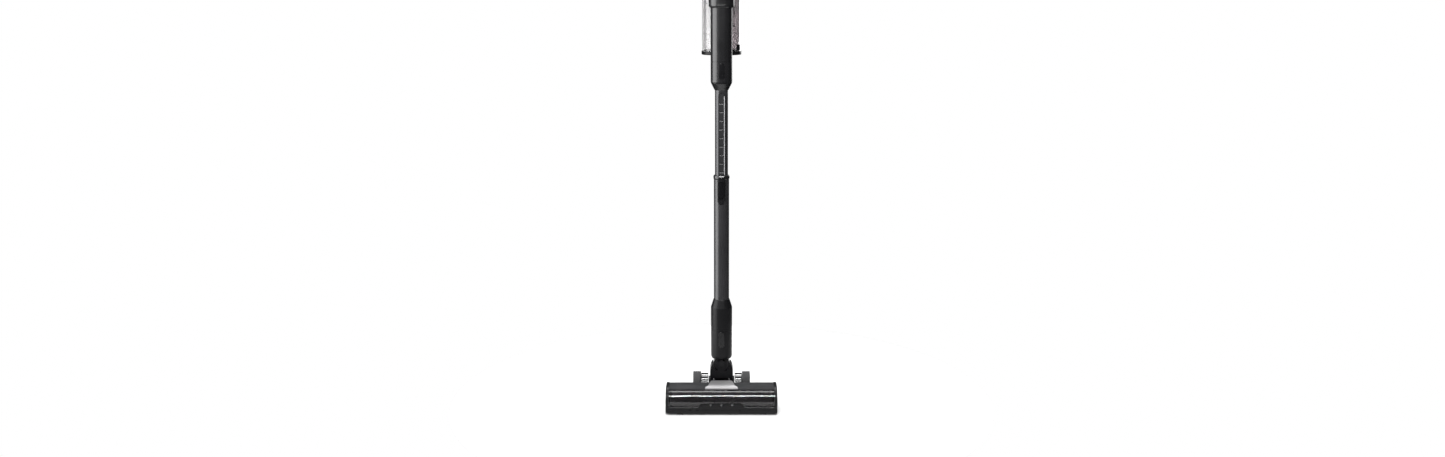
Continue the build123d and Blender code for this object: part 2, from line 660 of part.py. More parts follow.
with BuildPart() as front_housing:
    # rounded front column, blended into the foot of the handle
    with BuildSketch(Plane.XZ):
        with BuildLine():
            l1 = Polyline((0, 902.0), (24.6, 902.0))
            l2 = ThreePointArc((24.6, 902.0), (27.5, 904.2), (R_FRONT, 909.0))
            l3 = Line((R_FRONT, 909.0), (R_FRONT, 962.0))
            l4 = Spline((R_FRONT, 962.0), (25.0, 982.0), (19.0, 998.0), (16.0, 1014.0), tangents=[(0, 1), (-0.1, 1)])
            l5 = Polyline((16.0, 1014.0), (0, 1014.0), (0, 902.0))
        make_face()
    revolve(axis=Axis.Z)
    add(front_housing.part.moved(Location((0, YW, 0))), mode=Mode.REPLACE)
    # web back to the motor housing
    with BuildSketch(Plane.XY.offset(904.0)):
        with Locations((0, 2.0)):
            Rectangle(44, 44)
    extrude(amount=72.0)
    with BuildSketch(Plane.YZ.offset(-22)):
        with BuildLine():
            Polyline((-25, 976), (24, 976), (24, 984), (-2, 1006), (-25, 1006), (-25, 976))
        make_face()
    extrude(amount=44)
    # clearance for the bin and seat against the motor housing
    with Locations((0, YB, 920.0)):
        Cylinder(R_BIN + 0.5, 66.0, mode=Mode.SUBTRACT)
    with Locations((0, YB, 1000.0)):
        Cylinder(R_MOT, 100.0, mode=Mode.SUBTRACT)
    # air duct: up from the inlet and back into the bin
    with Locations((0, YW, 914.0)):
        Cylinder(15.0, 30.0, mode=Mode.SUBTRACT)
    with Locations((0, YW + 14, 921.0)):
        Box(26, 40, 22, mode=Mode.SUBTRACT)
    # closed bay for the circuit board
    with Locations((0, YW, 962.0)):
        Box(42, 30, 48, mode=Mode.SUBTRACT)
save(front_housing, "front_housing")

with BuildPart() as circuit_board:
    with Locations((0, YW - 4, 962.0)):
        Box(38, 1.6, 44)
    with Locations((-8, YW - 1.4, 968.0)):
        Box(12, 3.6, 12)
    with Locations((9, YW + 0.6, 955.0)):
        Box(9, 7.6, 14)
    with Locations((8, YW - 1.7, 976.0)):
        Box(14, 3.0, 5)
    with Locations(Location((-10, YW + 0.8, 950.0), (90, 0, 0))):
        Cylinder(4.2, 8.0)
save(circuit_board, "circuit_board")

# ------------------------------------------------------------------ bin, lid, latch
with BuildPart() as dust_bin:
    with Locations((0, YB, 0)):
        with BuildSketch(Plane.XY.offset(Z_BIN_LO)):
            with Locations((0, YB)):
                Circle(R_BIN)
                Circle(R_BIN_IN, mode=Mode.SUBTRACT)
        extrude(amount=Z_BIN_HI - Z_BIN_LO)
    # inlet window facing the duct
    with Locations((0, YB - R_BIN, 921.0)):
        Box(26, 12, 22, mode=Mode.SUBTRACT)
    # ears of the lid hinge
    for sx in (-1, 1):
        with BuildSketch(Plane.YZ.offset(sx * 9.2 - 2.8)):
            with Locations((YB + 49.8, 799.0)):
                Circle(3.2)
            with BuildLine():
                Polyline((YB + 42.6, 818), (YB + 46.0, 818), (YB + 53.0, 806), (YB + 53.0, 799), (YB + 47.2, 800),
                         (YB + 46.8, Z_BIN_LO), (YB + 42.6, Z_BIN_LO), (YB + 42.6, 818))
            make_face()
            with Locations((YB + 49.8, 799.0)):
                Circle(1.6, mode=Mode.SUBTRACT)
        extrude(amount=5.6)
    # pad that carries the latch
    with BuildSketch(Plane.XY.offset(Z_BIN_LO + 1)):
        with Locations(Location((0.8 * (R_BIN + 0.2), YB - 0.6 * (R_BIN + 0.2), 0), (0, 0, -36.87))):
            Rectangle(2.6, 15)
    extrude(amount=20)
    with Locations((0, YB, 870)):
        Cylinder(R_BIN_IN, 200, mode=Mode.SUBTRACT)
save(dust_bin, "dust_bin")

with BuildPart() as bin_latch:
    px, py = 0.8 * (R_BIN + 1.8), YB - 0.6 * (R_BIN + 1.8)
    with BuildSketch(Plane.XY.offset(Z_BIN_LO + 1.5)):
        with Locations(Location((px + 0.8 * 1.6, py - 0.6 * 1.6, 0), (0, 0, -36.87))):
            Rectangle(2.6, 11)
    extrude(amount=14)
    fillet(bin_latch.edges().filter_by(Axis.Z), 0.8)
    for k in range(4):
        with Locations(Location((px + 0.8 * 3.0, py - 0.6 * 3.0, Z_BIN_LO + 5.5 + 2.4 * k), (0, 0, -36.87))):
            Box(0.8, 8, 0.8, mode=Mode.SUBTRACT)
save(bin_latch, "bin_latch")

with BuildPart() as bin_lid:
    with BuildSketch(Plane.XY.offset(Z_LID)):
        with Locations((0, YB)):
            Circle(R_RIM)
    extrude(amount=Z_BIN_LO - 0.3 - Z_LID)
    with BuildSketch(Plane.XY.offset(Z_LID + 2.4)):
        with Locations((0, YB)):
            Circle(R_BIN_IN - 0.6)
    extrude(amount=20, mode=Mode.SUBTRACT)
    fillet(bin_lid.edges().filter_by(GeomType.CIRCLE).filter_by(
        lambda e: abs(e.radius - R_RIM) < 0.01).sort_by(Axis.Z)[:1], 2.0)
    # stiffening ribs under the floor of the lid
    with BuildSketch(Plane.XY.offset(Z_LID + 2.4)):
        with Locations((0, YB)):
            Circle(20)
            Circle(18.4, mode=Mode.SUBTRACT)
            with PolarLocations(0, 6):
                with Locations((30, 0)):
                    Rectangle(22, 1.6)
    extrude(amount=2.6)
    # hinge lug
    with BuildSketch(Plane.YZ.offset(-6.0)):
        with Locations((YB + 49.8, 799.0)):
            Circle(3.2)
        with BuildLine():
            Polyline((YB + 43.0, Z_LID + 0.6), (YB + 49.8, Z_LID + 1.3), (YB + 52.0, 799), (YB + 49.8, 802.2), (YB + 43.0, 802.2),
                     (YB + 43.0, Z_LID + 0.6))
        make_face()
        with Locations((YB + 49.8, 799.0)):
            Circle(1.65, mode=Mode.SUBTRACT)
    extrude(amount=12.0)
save(bin_lid, "bin_lid")

with BuildPart() as lid_hinge_pin:
    with Locations(Location((0, YB + 49.8, 799.0), (0, 90, 0))):
        Cylinder(1.6, 23.6)
save(lid_hinge_pin, "lid_hinge_pin")

# ------------------------------------------------------------------ cyclone
with BuildPart() as cyclone_shroud:
    with BuildSketch(Plane.XZ):
        with BuildLine():
            Polyline((25.2, 866.0), (25.2, 937.0), (24.4, 940.0), (24.4, 944.6), (41.4, 944.6), (41.4, 939.0), (27.0, 934.0),
                     (27.0, 868.0), (32.0, 858.0), (30.4, 857.4), (25.2, 866.0))
        make_face()
    revolve(axis=Axis.Z)
    # slotted screen
    with BuildSketch(Plane.XZ.offset(20)):
        with Locations((0, 881), (0, 899), (0, 917)):
            SlotOverall(13, 3.0, rotation=90)
    slots = extrude(amount=10, mode=Mode.PRIVATE)
    for k in range(18):
        if k in (0,):
            continue
        add(slots.rotate(Axis.Z, 20.0 * k), mode=Mode.SUBTRACT)
    add(cyclone_shroud.part.moved(Location((0, YB, 0))), mode=Mode.REPLACE)
save(cyclone_shroud, "cyclone_shroud")

with BuildPart() as cyclone_cones:
    with BuildSketch(Plane.XZ):
        with BuildLine():
            Polyline((6.5, 940.6), (7.6, 940.6), (7.6, 926.0), (3.8, 878.0), (2.6, 878.0), (6.4, 926.0), (6.5, 940.6))
        make_face()
    cone = revolve(axis=Axis.Z, mode=Mode.PRIVATE)
    for k in range(6):
        add(cone.moved(Location((16.2 * cos(radians(60 * k)), 16.2 * sin(radians(60 * k)), 0))))
    with BuildSketch(Plane.XY.offset(940.2)):
        Circle(24.3)
        for k in range(6):
            with Locations((16.2 * cos(radians(60 * k)), 16.2 * sin(radians(60 * k)))):
                Circle(4.5, mode=Mode.SUBTRACT)
    extrude(amount=4.4)
    add(cyclone_cones.part.moved(Location((0, YB, 0))), mode=Mode.REPLACE)
save(cyclone_cones, "cyclone_cones")

# ------------------------------------------------------------------ motor unit
with BuildPart() as motor_housing:
    with BuildSketch(Plane.XZ):
        with BuildLine():
            Polyline((18.0, Z_MOT_LO), (43.6, Z_MOT_LO), (44.1, 946.5), (44.1, 951.0), (R_MOT, 953.0), (R_MOT, Z_MOT_HI),
                     (R_MOT_IN, Z_MOT_HI), (R_MOT_IN, 948.5), (18.0, 948.5), (18.0, Z_MOT_LO))
        make_face()
    revolve(axis=Axis.Z)
    # seat ring that carries the motor
    with BuildSketch(Plane.XY.offset(992.5)):
        Circle(R_MOT_IN + 0.4)
        Circle(23.0, mode=Mode.SUBTRACT)
        for k in range(8):
            with Locations((30.5 * cos(radians(45 * k)), 30.5 * sin(radians(45 * k)))):
                Circle(4.6, mode=Mode.SUBTRACT)
    extrude(amount=2.5)
    add(motor_housing.part.moved(Location((0, YB, 0))), mode=Mode.REPLACE)
save(motor_housing, "motor_housing")

with BuildPart() as motor_stator:
    with BuildSketch(Plane.XY.offset(962.0)):
        Circle(22.8)
        Circle(13.0, mode=Mode.SUBTRACT)
    extrude(amount=36.0)
    with BuildSketch(Plane.XY.offset(992.4)):
        Circle(13.5)
        Circle(3.05, mode=Mode.SUBTRACT)
    extrude(amount=4.0)
    add(motor_stator.part.moved(Location((0, YB, 0))), mode=Mode.REPLACE)
save(motor_stator, "motor_stator")

with BuildPart() as fan_rotor:
    with BuildSketch(Plane.XY.offset(949.8)):
        Circle(3.0)
    extrude(amount=48.0)
    with BuildSketch(Plane.XY.offset(964.0)):
        Circle(12.2)
    extrude(amount=25.0)
    with BuildSketch(Plane.XZ):
        with BuildLine():
            Polyline((0, 949.8), (6, 949.8), (9, 955.5), (20, 958.2), (30, 959.0), (30, 960.4), (0, 960.4), (0, 949.8))
        make_face()
    revolve(axis=Axis.Z)
    with BuildSketch(Plane.XZ):
        with BuildLine():
            Polyline((7.5, 950.4), (14.0, 950.4), (29.4, 955.6), (29.4, 959.4), (7.5, 959.4), (7.5, 950.4))
        make_face()
    blade = extrude(amount=0.7, both=True, mode=Mode.PRIVATE)
    for k in range(9):
        add(blade.rotate(Axis.Z, 40.0 * k))
    add(fan_rotor.part.moved(Location((0, YB, 0))), mode=Mode.REPLACE)
save(fan_rotor, "fan_rotor")

with BuildPart() as filter_element:
    # pleated ring with a closed top and bottom plate
    with BuildSketch(Plane.XY.offset(1005.5)):
        pts = []
        n = 36
        for k in range(n):
            for j, r in ((0, 34.6), (0.5, 29.6)):
                a = radians(360.0 * (k + j) / n)
                pts.append((r * cos(a), r * sin(a)))
        with BuildLine():
            Polyline(*pts, pts[0])
        make_face()
        Circle(24.0, mode=Mode.SUBTRACT)
    extrude(amount=22.0)
    with BuildSketch(Plane.XY.offset(1003.0)):
        Circle(35.6)
        Circle(23.0, mode=Mode.SUBTRACT)
    extrude(amount=2.5)
    add(filter_element.part.moved(Location((0, YB, 0))), mode=Mode.REPLACE)
save(filter_element, "filter_element")

with BuildPart() as filter_cap:
    with BuildSketch(Plane.XZ):
        with BuildLine():
            c1 = Polyline((0, 1027.5), (36.6, 1027.5), (36.6, Z_MOT_HI + 0.3), (39.9, Z_MOT_HI + 0.3), (39.9, 1038.5))
            c2 = ThreePointArc((39.9, 1038.5), (38.2, 1042.8), (33.6, 1044.6))
            c3 = Line((33.6, 1044.6), (0, 1046.0))
            c4 = Line((0, 1046.0), (0, 1027.5))
        make_face()
    revolve(axis=Axis.Z)
    with BuildSketch(Plane.XZ):
        with BuildLine():
            Polyline((0, 1026), (34.0, 1026), (34.0, 1038.5), (30, 1041.5), (0, 1042.6), (0, 1026))
        make_face()
    revolve(axis=Axis.Z, mode=Mode.SUBTRACT)
    # exhaust slots in the top
    with BuildSketch(Plane.XY.offset(1036)):
        for k in range(24):
            with Locations(Location((24.5 * cos(radians(15 * k)), 24.5 * sin(radians(15 * k)), 0), (0, 0, 15 * k))):
                SlotOverall(13.0, 2.2)
    extrude(amount=20, mode=Mode.SUBTRACT)
    # finger bar across a round well
    with BuildSketch(Plane.XY.offset(1043.2)):
        Circle(14.0)
        Rectangle(40, 5.4, mode=Mode.SUBTRACT)
    extrude(amount=5, mode=Mode.SUBTRACT)
    add(filter_cap.part.moved(Location((0, YB, 0))), mode=Mode.REPLACE)
save(filter_cap, "filter_cap")

# ------------------------------------------------------------------ handle loop, dock, battery
HP = [(-20.0, 1014.3), (-19.0, 1044.0), (-7.0, 1082.0), (22.0, 1112.0), (58.0, 1121.95), (92.0, 1109.0), (111.0, 1075.0),
      (115.2, 1040.0), (115.2, 1012.3)]
with BuildPart() as handle_full:
    with BuildLine(Plane.YZ) as hpath:
        Spline(*HP, tangents=[(0, 1), (0, -1)])
    with BuildSketch(Plane(origin=(0, HP[0][0], HP[0][1]), x_dir=(1, 0, 0), z_dir=(0, 0, 1))):
        Ellipse(15.8, 14.0)
        Ellipse(12.6, 10.8, mode=Mode.SUBTRACT)
    sweep(path=hpath.wire())
print("handle", handle_full.part.bounding_box(), flush=True)
PATH = hpath.wire()


def on_path(t):
    p = PATH @ t
    d = PATH % t
    return p, d


# trigger pocket inside the loop, button and display on the outside
tp, td = on_path(0.27)
t_in = Vector(0, td.Z, -td.Y)                     # towards the inside of the loop
TRIG = Plane(origin=tp, x_dir=Vector(1, 0, 0), z_dir=t_in)
bp, bd = on_path(0.40)
BUTT = Plane(origin=bp, x_dir=Vector(1, 0, 0), z_dir=Vector(0, -bd.Z, bd.Y))
dp, dd = on_path(0.17)
DISP = Plane(origin=dp, x_dir=Vector(1, 0, 0), z_dir=Vector(0, -dd.Z, dd.Y))
print("trigger", tp, t_in, "button", bp, BUTT.z_dir, "display", dp, DISP.z_dir, flush=True)

with BuildPart() as handle_cut:
    add(handle_full.part)
    with BuildSketch(TRIG.offset(5.0)):
        Rectangle(14.6, 27.6)
    extrude(amount=14, mode=Mode.SUBTRACT)
    with BuildSketch(BUTT.offset(5.0)):
        Circle(5.9)
    extrude(amount=14, mode=Mode.SUBTRACT)
    with BuildSketch(DISP.offset(12.2)):
        Rectangle(15.2, 30)
    extrude(amount=8, mode=Mode.SUBTRACT)

for side, keep in (("left", Keep.BOTTOM), ("right", Keep.TOP)):
    with BuildPart() as shell_half:
        add(handle_cut.part)
        split(bisect_by=Plane.YZ, keep=keep)
    print(side, shell_half.part.bounding_box(), flush=True)
    save(shell_half, "handle_" + side)

with BuildPart() as display_lens:
    with BuildSketch(DISP.offset(12.25)):
        RectangleRounded(12.4, 27.4, 3.0)
    extrude(amount=1.1)
save(display_lens, "display_lens")

with BuildPart() as power_trigger:
    with BuildSketch(TRIG.offset(6.6)):
        RectangleRounded(13.8, 26.8, 2.4)
    extrude(amount=11.2)
    fillet(power_trigger.faces().sort_by(lambda f: (f.center() - tp).dot(t_in))[-1].edges(), 2.0)
save(power_trigger, "power_trigger")

with BuildPart() as boost_button:
    with BuildSketch(BUTT.offset(8.6)):
        Circle(5.5)
    extrude(amount=6.4)
    fillet(boost_button.faces().sort_by(lambda f: (f.center() - bp).dot(BUTT.z_dir))[-1].edges(), 0.8)
save(boost_button, "boost_button")

with BuildPart() as battery_dock:
    with BuildSketch(Plane.XY.offset(985.0)):
        with Locations((0, 108.0)):
            RectangleRounded(52, 42, 8)
    extrude(amount=27.0)
    chamfer(battery_dock.faces().sort_by(Axis.Z)[-1].edges(), 3.0)
    with BuildSketch(Plane.XY.offset(990.0)):
        with Locations((0, 92.0)):
            Rectangle(40, 30)
    extrude(amount=18.0)
    with Locations((0, YB, 1000.0)):
        Cylinder(R_MOT, 120.0, mode=Mode.SUBTRACT)
    # contact blades reaching down into the pack
    for x in (-9, -3, 3, 9):
        with Locations((x, 112, 982.5)):
            Box(0.8, 8, 6)
save(battery_dock, "battery_dock")

with BuildPart() as battery_case:
    with BuildSketch(Plane.XY.offset(880.0)):
        with Locations((0, (97.6 + BACK) / 2)):
            RectangleRounded(72, BACK - 97.6, 7)
    extrude(amount=104.6)
    fillet(battery_case.faces().sort_by(Axis.Z)[0].edges(), 3.0)
    with Locations((0, 113.2, 938.0)):
        Box(67.4, 26.8, 84, mode=Mode.SUBTRACT)
    # contact slots on top
    for x in (-9, -3, 3, 9):
        with Locations((x, 112, 983.0)):
            Box(1.6, 9.4, 10, mode=Mode.SUBTRACT)
    # pocket of the release button on the back
    with BuildSketch(Plane.XZ.offset(-(BACK - 2.6))):
        with Locations((0, 966)):
            RectangleRounded(20, 12, 3)
    extrude(amount=-5, mode=Mode.SUBTRACT)
    # hole for the charging jack
    with Locations((20, 116, 885)):
        Cylinder(5.0, 18, mode=Mode.SUBTRACT)
save(battery_case, "battery_case")

with BuildPart() as charging_jack:
    with Locations((20, 116, 887.0)):
        Cylinder(5.0, 13.2)                         # 880.4 .. 893.6
    with Locations((20, 116, 885.4)):
        Cylinder(2.75, 10.0, mode=Mode.SUBTRACT)
    with Locations((20, 116, 886.0)):
        Cylinder(1.05, 9.0)                         # 881.5 .. 890.5
save(charging_jack, "charging_jack")

with BuildPart() as battery_cells:
    for k in range(5):
        zc = 905.6 + 16.05 * k
        yc = 113.2 + (4.2 if k % 2 == 0 else -4.2)
        with Locations(Location((0, yc, zc), (0, 90, 0))):
            Cylinder(9.0, 65)
save(battery_cells, "battery_cells")

with BuildPart() as battery_button:
    with BuildSketch(Plane.XZ.offset(-BACK)):
        with Locations((0, 966)):
            RectangleRounded(19.2, 11.2, 2.6)
    extrude(amount=1.3)
    with BuildSketch(Plane.XZ.offset(-BACK)):
        with Locations((0, 966)):
            with GridLocations(1, 2.4, 1, 3):
                Rectangle(12, 0.8)
    extrude(amount=0.4, mode=Mode.SUBTRACT)
save(battery_button, "battery_button")
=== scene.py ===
import math
import random

import bmesh
import bpy
from mathutils import Matrix, Vector


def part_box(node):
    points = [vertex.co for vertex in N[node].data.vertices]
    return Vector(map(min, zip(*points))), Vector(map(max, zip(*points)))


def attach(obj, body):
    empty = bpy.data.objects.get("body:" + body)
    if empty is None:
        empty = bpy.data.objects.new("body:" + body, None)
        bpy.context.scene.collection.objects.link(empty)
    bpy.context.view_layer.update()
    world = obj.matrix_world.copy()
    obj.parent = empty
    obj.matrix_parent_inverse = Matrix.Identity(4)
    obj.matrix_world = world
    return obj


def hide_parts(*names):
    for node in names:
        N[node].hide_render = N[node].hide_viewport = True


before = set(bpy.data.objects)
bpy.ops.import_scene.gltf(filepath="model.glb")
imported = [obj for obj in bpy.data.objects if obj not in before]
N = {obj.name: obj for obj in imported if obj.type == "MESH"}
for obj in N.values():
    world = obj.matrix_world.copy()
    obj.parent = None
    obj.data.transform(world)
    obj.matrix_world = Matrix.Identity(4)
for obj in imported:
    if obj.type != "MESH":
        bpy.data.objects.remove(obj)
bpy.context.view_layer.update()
scene = bpy.context.scene
rng = random.Random(17)

# places read from the frame -------------------------------------------------
YW = sum(p.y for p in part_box("outer_tube")) / 2           # wand axis
YB = sum(p.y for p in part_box("fan_rotor")) / 2            # bin and motor axis
ROLL = [sum(p[i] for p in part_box("roller_fabric")) / 2 for i in range(3)]
AXLE = {s: [sum(p[i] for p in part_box("rear_tyre_" + s)) / 2 for i in range(3)] for s in ("left", "right")}
HEAD_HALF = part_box("end_cap_right")[1].x

# ================================================================ camera
cam_data = bpy.data.cameras.new("cam")
cam_data.sensor_fit = "HORIZONTAL"
cam_data.sensor_width = 36.0
cam_data.lens = 31.19
cam_data.shift_y = -0.0538
cam_data.dof.use_dof = False
cam_data.clip_start = 0.05
cam_data.clip_end = 60
cam = bpy.data.objects.new("cam", cam_data)
cam.location = (0.0023, YW - 2.8, 0.95)
cam.rotation_euler = (math.radians(90 - 7.5), 0, 0)
scene.collection.objects.link(cam)
scene.camera = cam


# ================================================================ material tools
def principled(name):
    m = bpy.data.materials.new(name)
    m.use_nodes = True
    nt = m.node_tree
    nt.nodes.clear()
    out = nt.nodes.new("ShaderNodeOutputMaterial")
    b = nt.nodes.new("ShaderNodeBsdfPrincipled")
    nt.links.new(b.outputs["BSDF"], out.inputs["Surface"])
    return m, nt, b


def coords(nt, scale=(1, 1, 1)):
    tc = nt.nodes.new("ShaderNodeTexCoord")
    mp = nt.nodes.new("ShaderNodeMapping")
    mp.inputs["Scale"].default_value = scale
    nt.links.new(tc.outputs["Object"], mp.inputs["Vector"])
    return mp.outputs["Vector"]


def noise(nt, scale, detail=3.0, rough=0.55, stretch=(1, 1, 1), distortion=0.0):
    n = nt.nodes.new("ShaderNodeTexNoise")
    n.inputs["Scale"].default_value = scale
    n.inputs["Detail"].default_value = detail
    n.inputs["Roughness"].default_value = rough
    n.inputs["Distortion"].default_value = distortion
    nt.links.new(coords(nt, stretch), n.inputs["Vector"])
    return n.outputs["Fac"]


def ramp(nt, src, stops):
    r = nt.nodes.new("ShaderNodeValToRGB")
    el = r.color_ramp.elements
    while len(el) < len(stops):
        el.new(0.5)
    for e, (p, c) in zip(el, stops):
        e.position = p
        e.color = (c, c, c, 1) if isinstance(c, (int, float)) else (c[0], c[1], c[2], 1)
    nt.links.new(src, r.inputs["Fac"])
    return r.outputs["Color"]


def maprange(nt, src, a, b, lo=0.25, hi=0.75):
    m = nt.nodes.new("ShaderNodeMapRange")
    m.inputs["From Min"].default_value = lo
    m.inputs["From Max"].default_value = hi
    m.inputs["To Min"].default_value = a
    m.inputs["To Max"].default_value = b
    nt.links.new(src, m.inputs["Value"])
    return m.outputs["Result"]


def mix(nt, fac, a, b, mode="MIX"):
    x = nt.nodes.new("ShaderNodeMix")
    x.data_type = "RGBA"
    x.blend_type = mode
    for sock, v in ((x.inputs["Factor"], fac), (x.inputs["A"], a), (x.inputs["B"], b)):
        if isinstance(v, (int, float)):
            sock.default_value = v
        elif isinstance(v, tuple):
            sock.default_value = (v[0], v[1], v[2], 1)
        else:
            nt.links.new(v, sock)
    return x.outputs["Result"]


def bump(nt, height, dist, strength=1.0, under=None):
    b = nt.nodes.new("ShaderNodeBump")
    b.inputs["Distance"].default_value = dist
    b.inputs["Strength"].default_value = strength
    nt.links.new(height, b.inputs["Height"])
    if under is not None:
        nt.links.new(under, b.inputs["Normal"])
    return b.outputs["Normal"]


def shade(rgb, k):
    return tuple(min(1.0, c * k) for c in rgb)


def moulded(name, rgb, rough=0.42, grain=0.35, grain_depth=0.00002, spread=0.18, rough_var=0.07, coat=0.0, ior=1.5,
            dust=0.0, spec=0.5):
    """Moulded plastic: cloudy colour, spark eroded grain, faint flow waves, rubbed and dusty patches."""
    m, nt, b = principled(name)
    cloud = noise(nt, 16, 4)
    col = ramp(nt, cloud, [(0.28, shade(rgb, 1 - spread)), (0.72, shade(rgb, 1 + spread))])
    speck = noise(nt, 900, 2, 0.6)
    col = mix(nt, maprange(nt, speck, 0.0, 0.35, 0.55, 0.8), col, shade(rgb, 1.55))
    if dust:
        film = noise(nt, 34, 6, 0.7, distortion=0.4)
        col = mix(nt, maprange(nt, film, 0.0, dust, 0.5, 0.8), col, (0.33, 0.31, 0.29))
    nt.links.new(col, b.inputs["Base Color"])
    patch = noise(nt, 26, 5, 0.62)
    nt.links.new(maprange(nt, patch, rough - rough_var, rough + rough_var), b.inputs["Roughness"])
    b.inputs["IOR"].default_value = ior
    b.inputs["Specular IOR Level"].default_value = spec
    b.inputs["Coat Weight"].default_value = coat
    b.inputs["Coat Roughness"].default_value = 0.06
    fine = noise(nt, 1.0 / (grain * 0.001), 2, 0.5)
    wave = noise(nt, 70, 1, 0.4)
    n1 = bump(nt, wave, 0.00012, 0.25)
    n2 = bump(nt, fine, grain_depth, 1.0, n1)
    nt.links.new(n2, b.inputs["Normal"])
    return m


def anodised(name, rgb, rough=0.3, metal=0.85, axis="Z"):
    """Anodised drawn tube: long draw lines, fine blasted sparkle and a few scuffs."""
    m, nt, b = principled(name)
    st = {"Z": (1, 1, 0.012), "X": (0.012, 1, 1)}[axis]
    lines = noise(nt, 1500, 3, 0.6, stretch=st)
    cloud = noise(nt, 12, 3)
    col = ramp(nt, cloud, [(0.3, shade(rgb, 0.85)), (0.7, shade(rgb, 1.15))])
    col = mix(nt, maprange(nt, lines, 0.0, 0.30, 0.45, 0.75), col, shade(rgb, 1.5))
    scuff = noise(nt, 160, 6, 0.75, stretch=(1, 1, 0.25), distortion=0.6)
    col = mix(nt, maprange(nt, scuff, 0.0, 0.25, 0.66, 0.86), col, shade(rgb, 2.2))
    nt.links.new(col, b.inputs["Base Color"])
    b.inputs["Metallic"].default_value = metal
    r1 = maprange(nt, lines, rough - 0.05, rough + 0.07)
    nt.links.new(r1, b.inputs["Roughness"])
    blast = noise(nt, 3200, 1, 0.5)
    n1 = bump(nt, lines, 0.000012, 1.0)
    n2 = bump(nt, blast, 0.00001, 1.0, n1)
    nt.links.new(n2, b.inputs["Normal"])
    return m


def turned(name, rgb, rough=0.28):
    """Bare machined metal with turning marks and a little tarnish."""
    m, nt, b = principled(name)
    marks = noise(nt, 2600, 2, 0.5, stretch=(1, 0.1, 1))
    stain = noise(nt, 60, 5, 0.65)
    col = ramp(nt, stain, [(0.3, shade(rgb, 0.72)), (0.7, rgb)])
    nt.links.new(col, b.inputs["Base Color"])
    b.inputs["Metallic"].default_value = 1.0
    nt.links.new(maprange(nt, marks, rough - 0.08, rough + 0.12), b.inputs["Roughness"])
    nt.links.new(bump(nt, marks, 0.00002, 0.8), b.inputs["Normal"])
    return m


def rubber(name, rgb, rough=0.82):
    m, nt, b = principled(name)
    cloud = noise(nt, 40, 5, 0.65)
    col = ramp(nt, cloud, [(0.3, shade(rgb, 0.8)), (0.7, shade(rgb, 1.3))])
    lint = noise(nt, 520, 4, 0.7)
    col = mix(nt, maprange(nt, lint, 0.0, 0.35, 0.62, 0.82), col, (0.20, 0.19, 0.18))
    nt.links.new(col, b.inputs["Base Color"])
    nt.links.new(maprange(nt, cloud, rough - 0.08, rough + 0.08), b.inputs["Roughness"])
    pore = noise(nt, 2400, 3, 0.6)
    nt.links.new(bump(nt, pore, 0.00004, 0.9), b.inputs["Normal"])
    return m


def clear(name, tint, rough=0.03, ior=1.45, weight=1.0, film=0.12):
    """Clear moulded plastic with a tint, faint flow lines and a breath of dust."""
    m, nt, b = principled(name)
    flow = noise(nt, 22, 3, 0.5, stretch=(1, 1, 0.2))
    col = ramp(nt, flow, [(0.3, shade(tint, 0.93)), (0.7, tint)])
    nt.links.new(col, b.inputs["Base Color"])
    b.inputs["Transmission Weight"].default_value = weight
    b.inputs["IOR"].default_value = ior
    smear = noise(nt, 46, 6, 0.7, distortion=0.5)
    nt.links.new(maprange(nt, smear, rough, rough + film, 0.45, 0.85), b.inputs["Roughness"])
    nt.links.new(bump(nt, flow, 0.00006, 0.35), b.inputs["Normal"])
    return m


def fabric(name, rgb, rough=0.9, scale=2200, depth=0.00025, stretch=(1, 1, 1)):
    m, nt, b = principled(name)
    fibre = noise(nt, scale, 4, 0.65, stretch=stretch)
    cloud = noise(nt, 60, 4)
    col = ramp(nt, fibre, [(0.3, shade(rgb, 0.55)), (0.7, shade(rgb, 1.5))])
    col = mix(nt, maprange(nt, cloud, 0.0, 0.4), col, shade(rgb, 0.8))
    nt.links.new(col, b.inputs["Base Color"])
    nt.links.new(maprange(nt, fibre, rough - 0.1, min(1.0, rough + 0.1)), b.inputs["Roughness"])
    b.inputs["Sheen Weight"].default_value = 0.25
    nt.links.new(bump(nt, fibre, depth, 1.0), b.inputs["Normal"])
    return m


SATIN = moulded("satin_charcoal", (0.006, 0.006, 0.0066), rough=0.25, grain=0.35, rough_var=0.04, spec=0.45)
# painted shade: a darker, duller copy of the satin charcoal for the head connector and wand sleeve, darkened for the
# shade on the lower wand
SATIN_SHADED = moulded("satin_painted_shade", (0.0045, 0.0045, 0.005), rough=0.30, grain=0.35, rough_var=0.04, spec=0.12)
HANDLE = moulded("satin_handle", (0.022, 0.022, 0.0235), rough=0.44, grain=0.45, grain_depth=0.00003)
GLOSS = moulded("gloss_black", (0.012, 0.012, 0.013), rough=0.12, grain=1.2, grain_depth=0.000004, rough_var=0.05, coat=0.5)
MATTE = moulded("matte_grey", (0.023, 0.0234, 0.0245), rough=0.75, grain=0.5, grain_depth=0.00004, dust=0.03, spec=0.03)
BLACK = moulded("deep_black", (0.005, 0.005, 0.0054), rough=0.30, grain=0.4, spec=0.12)
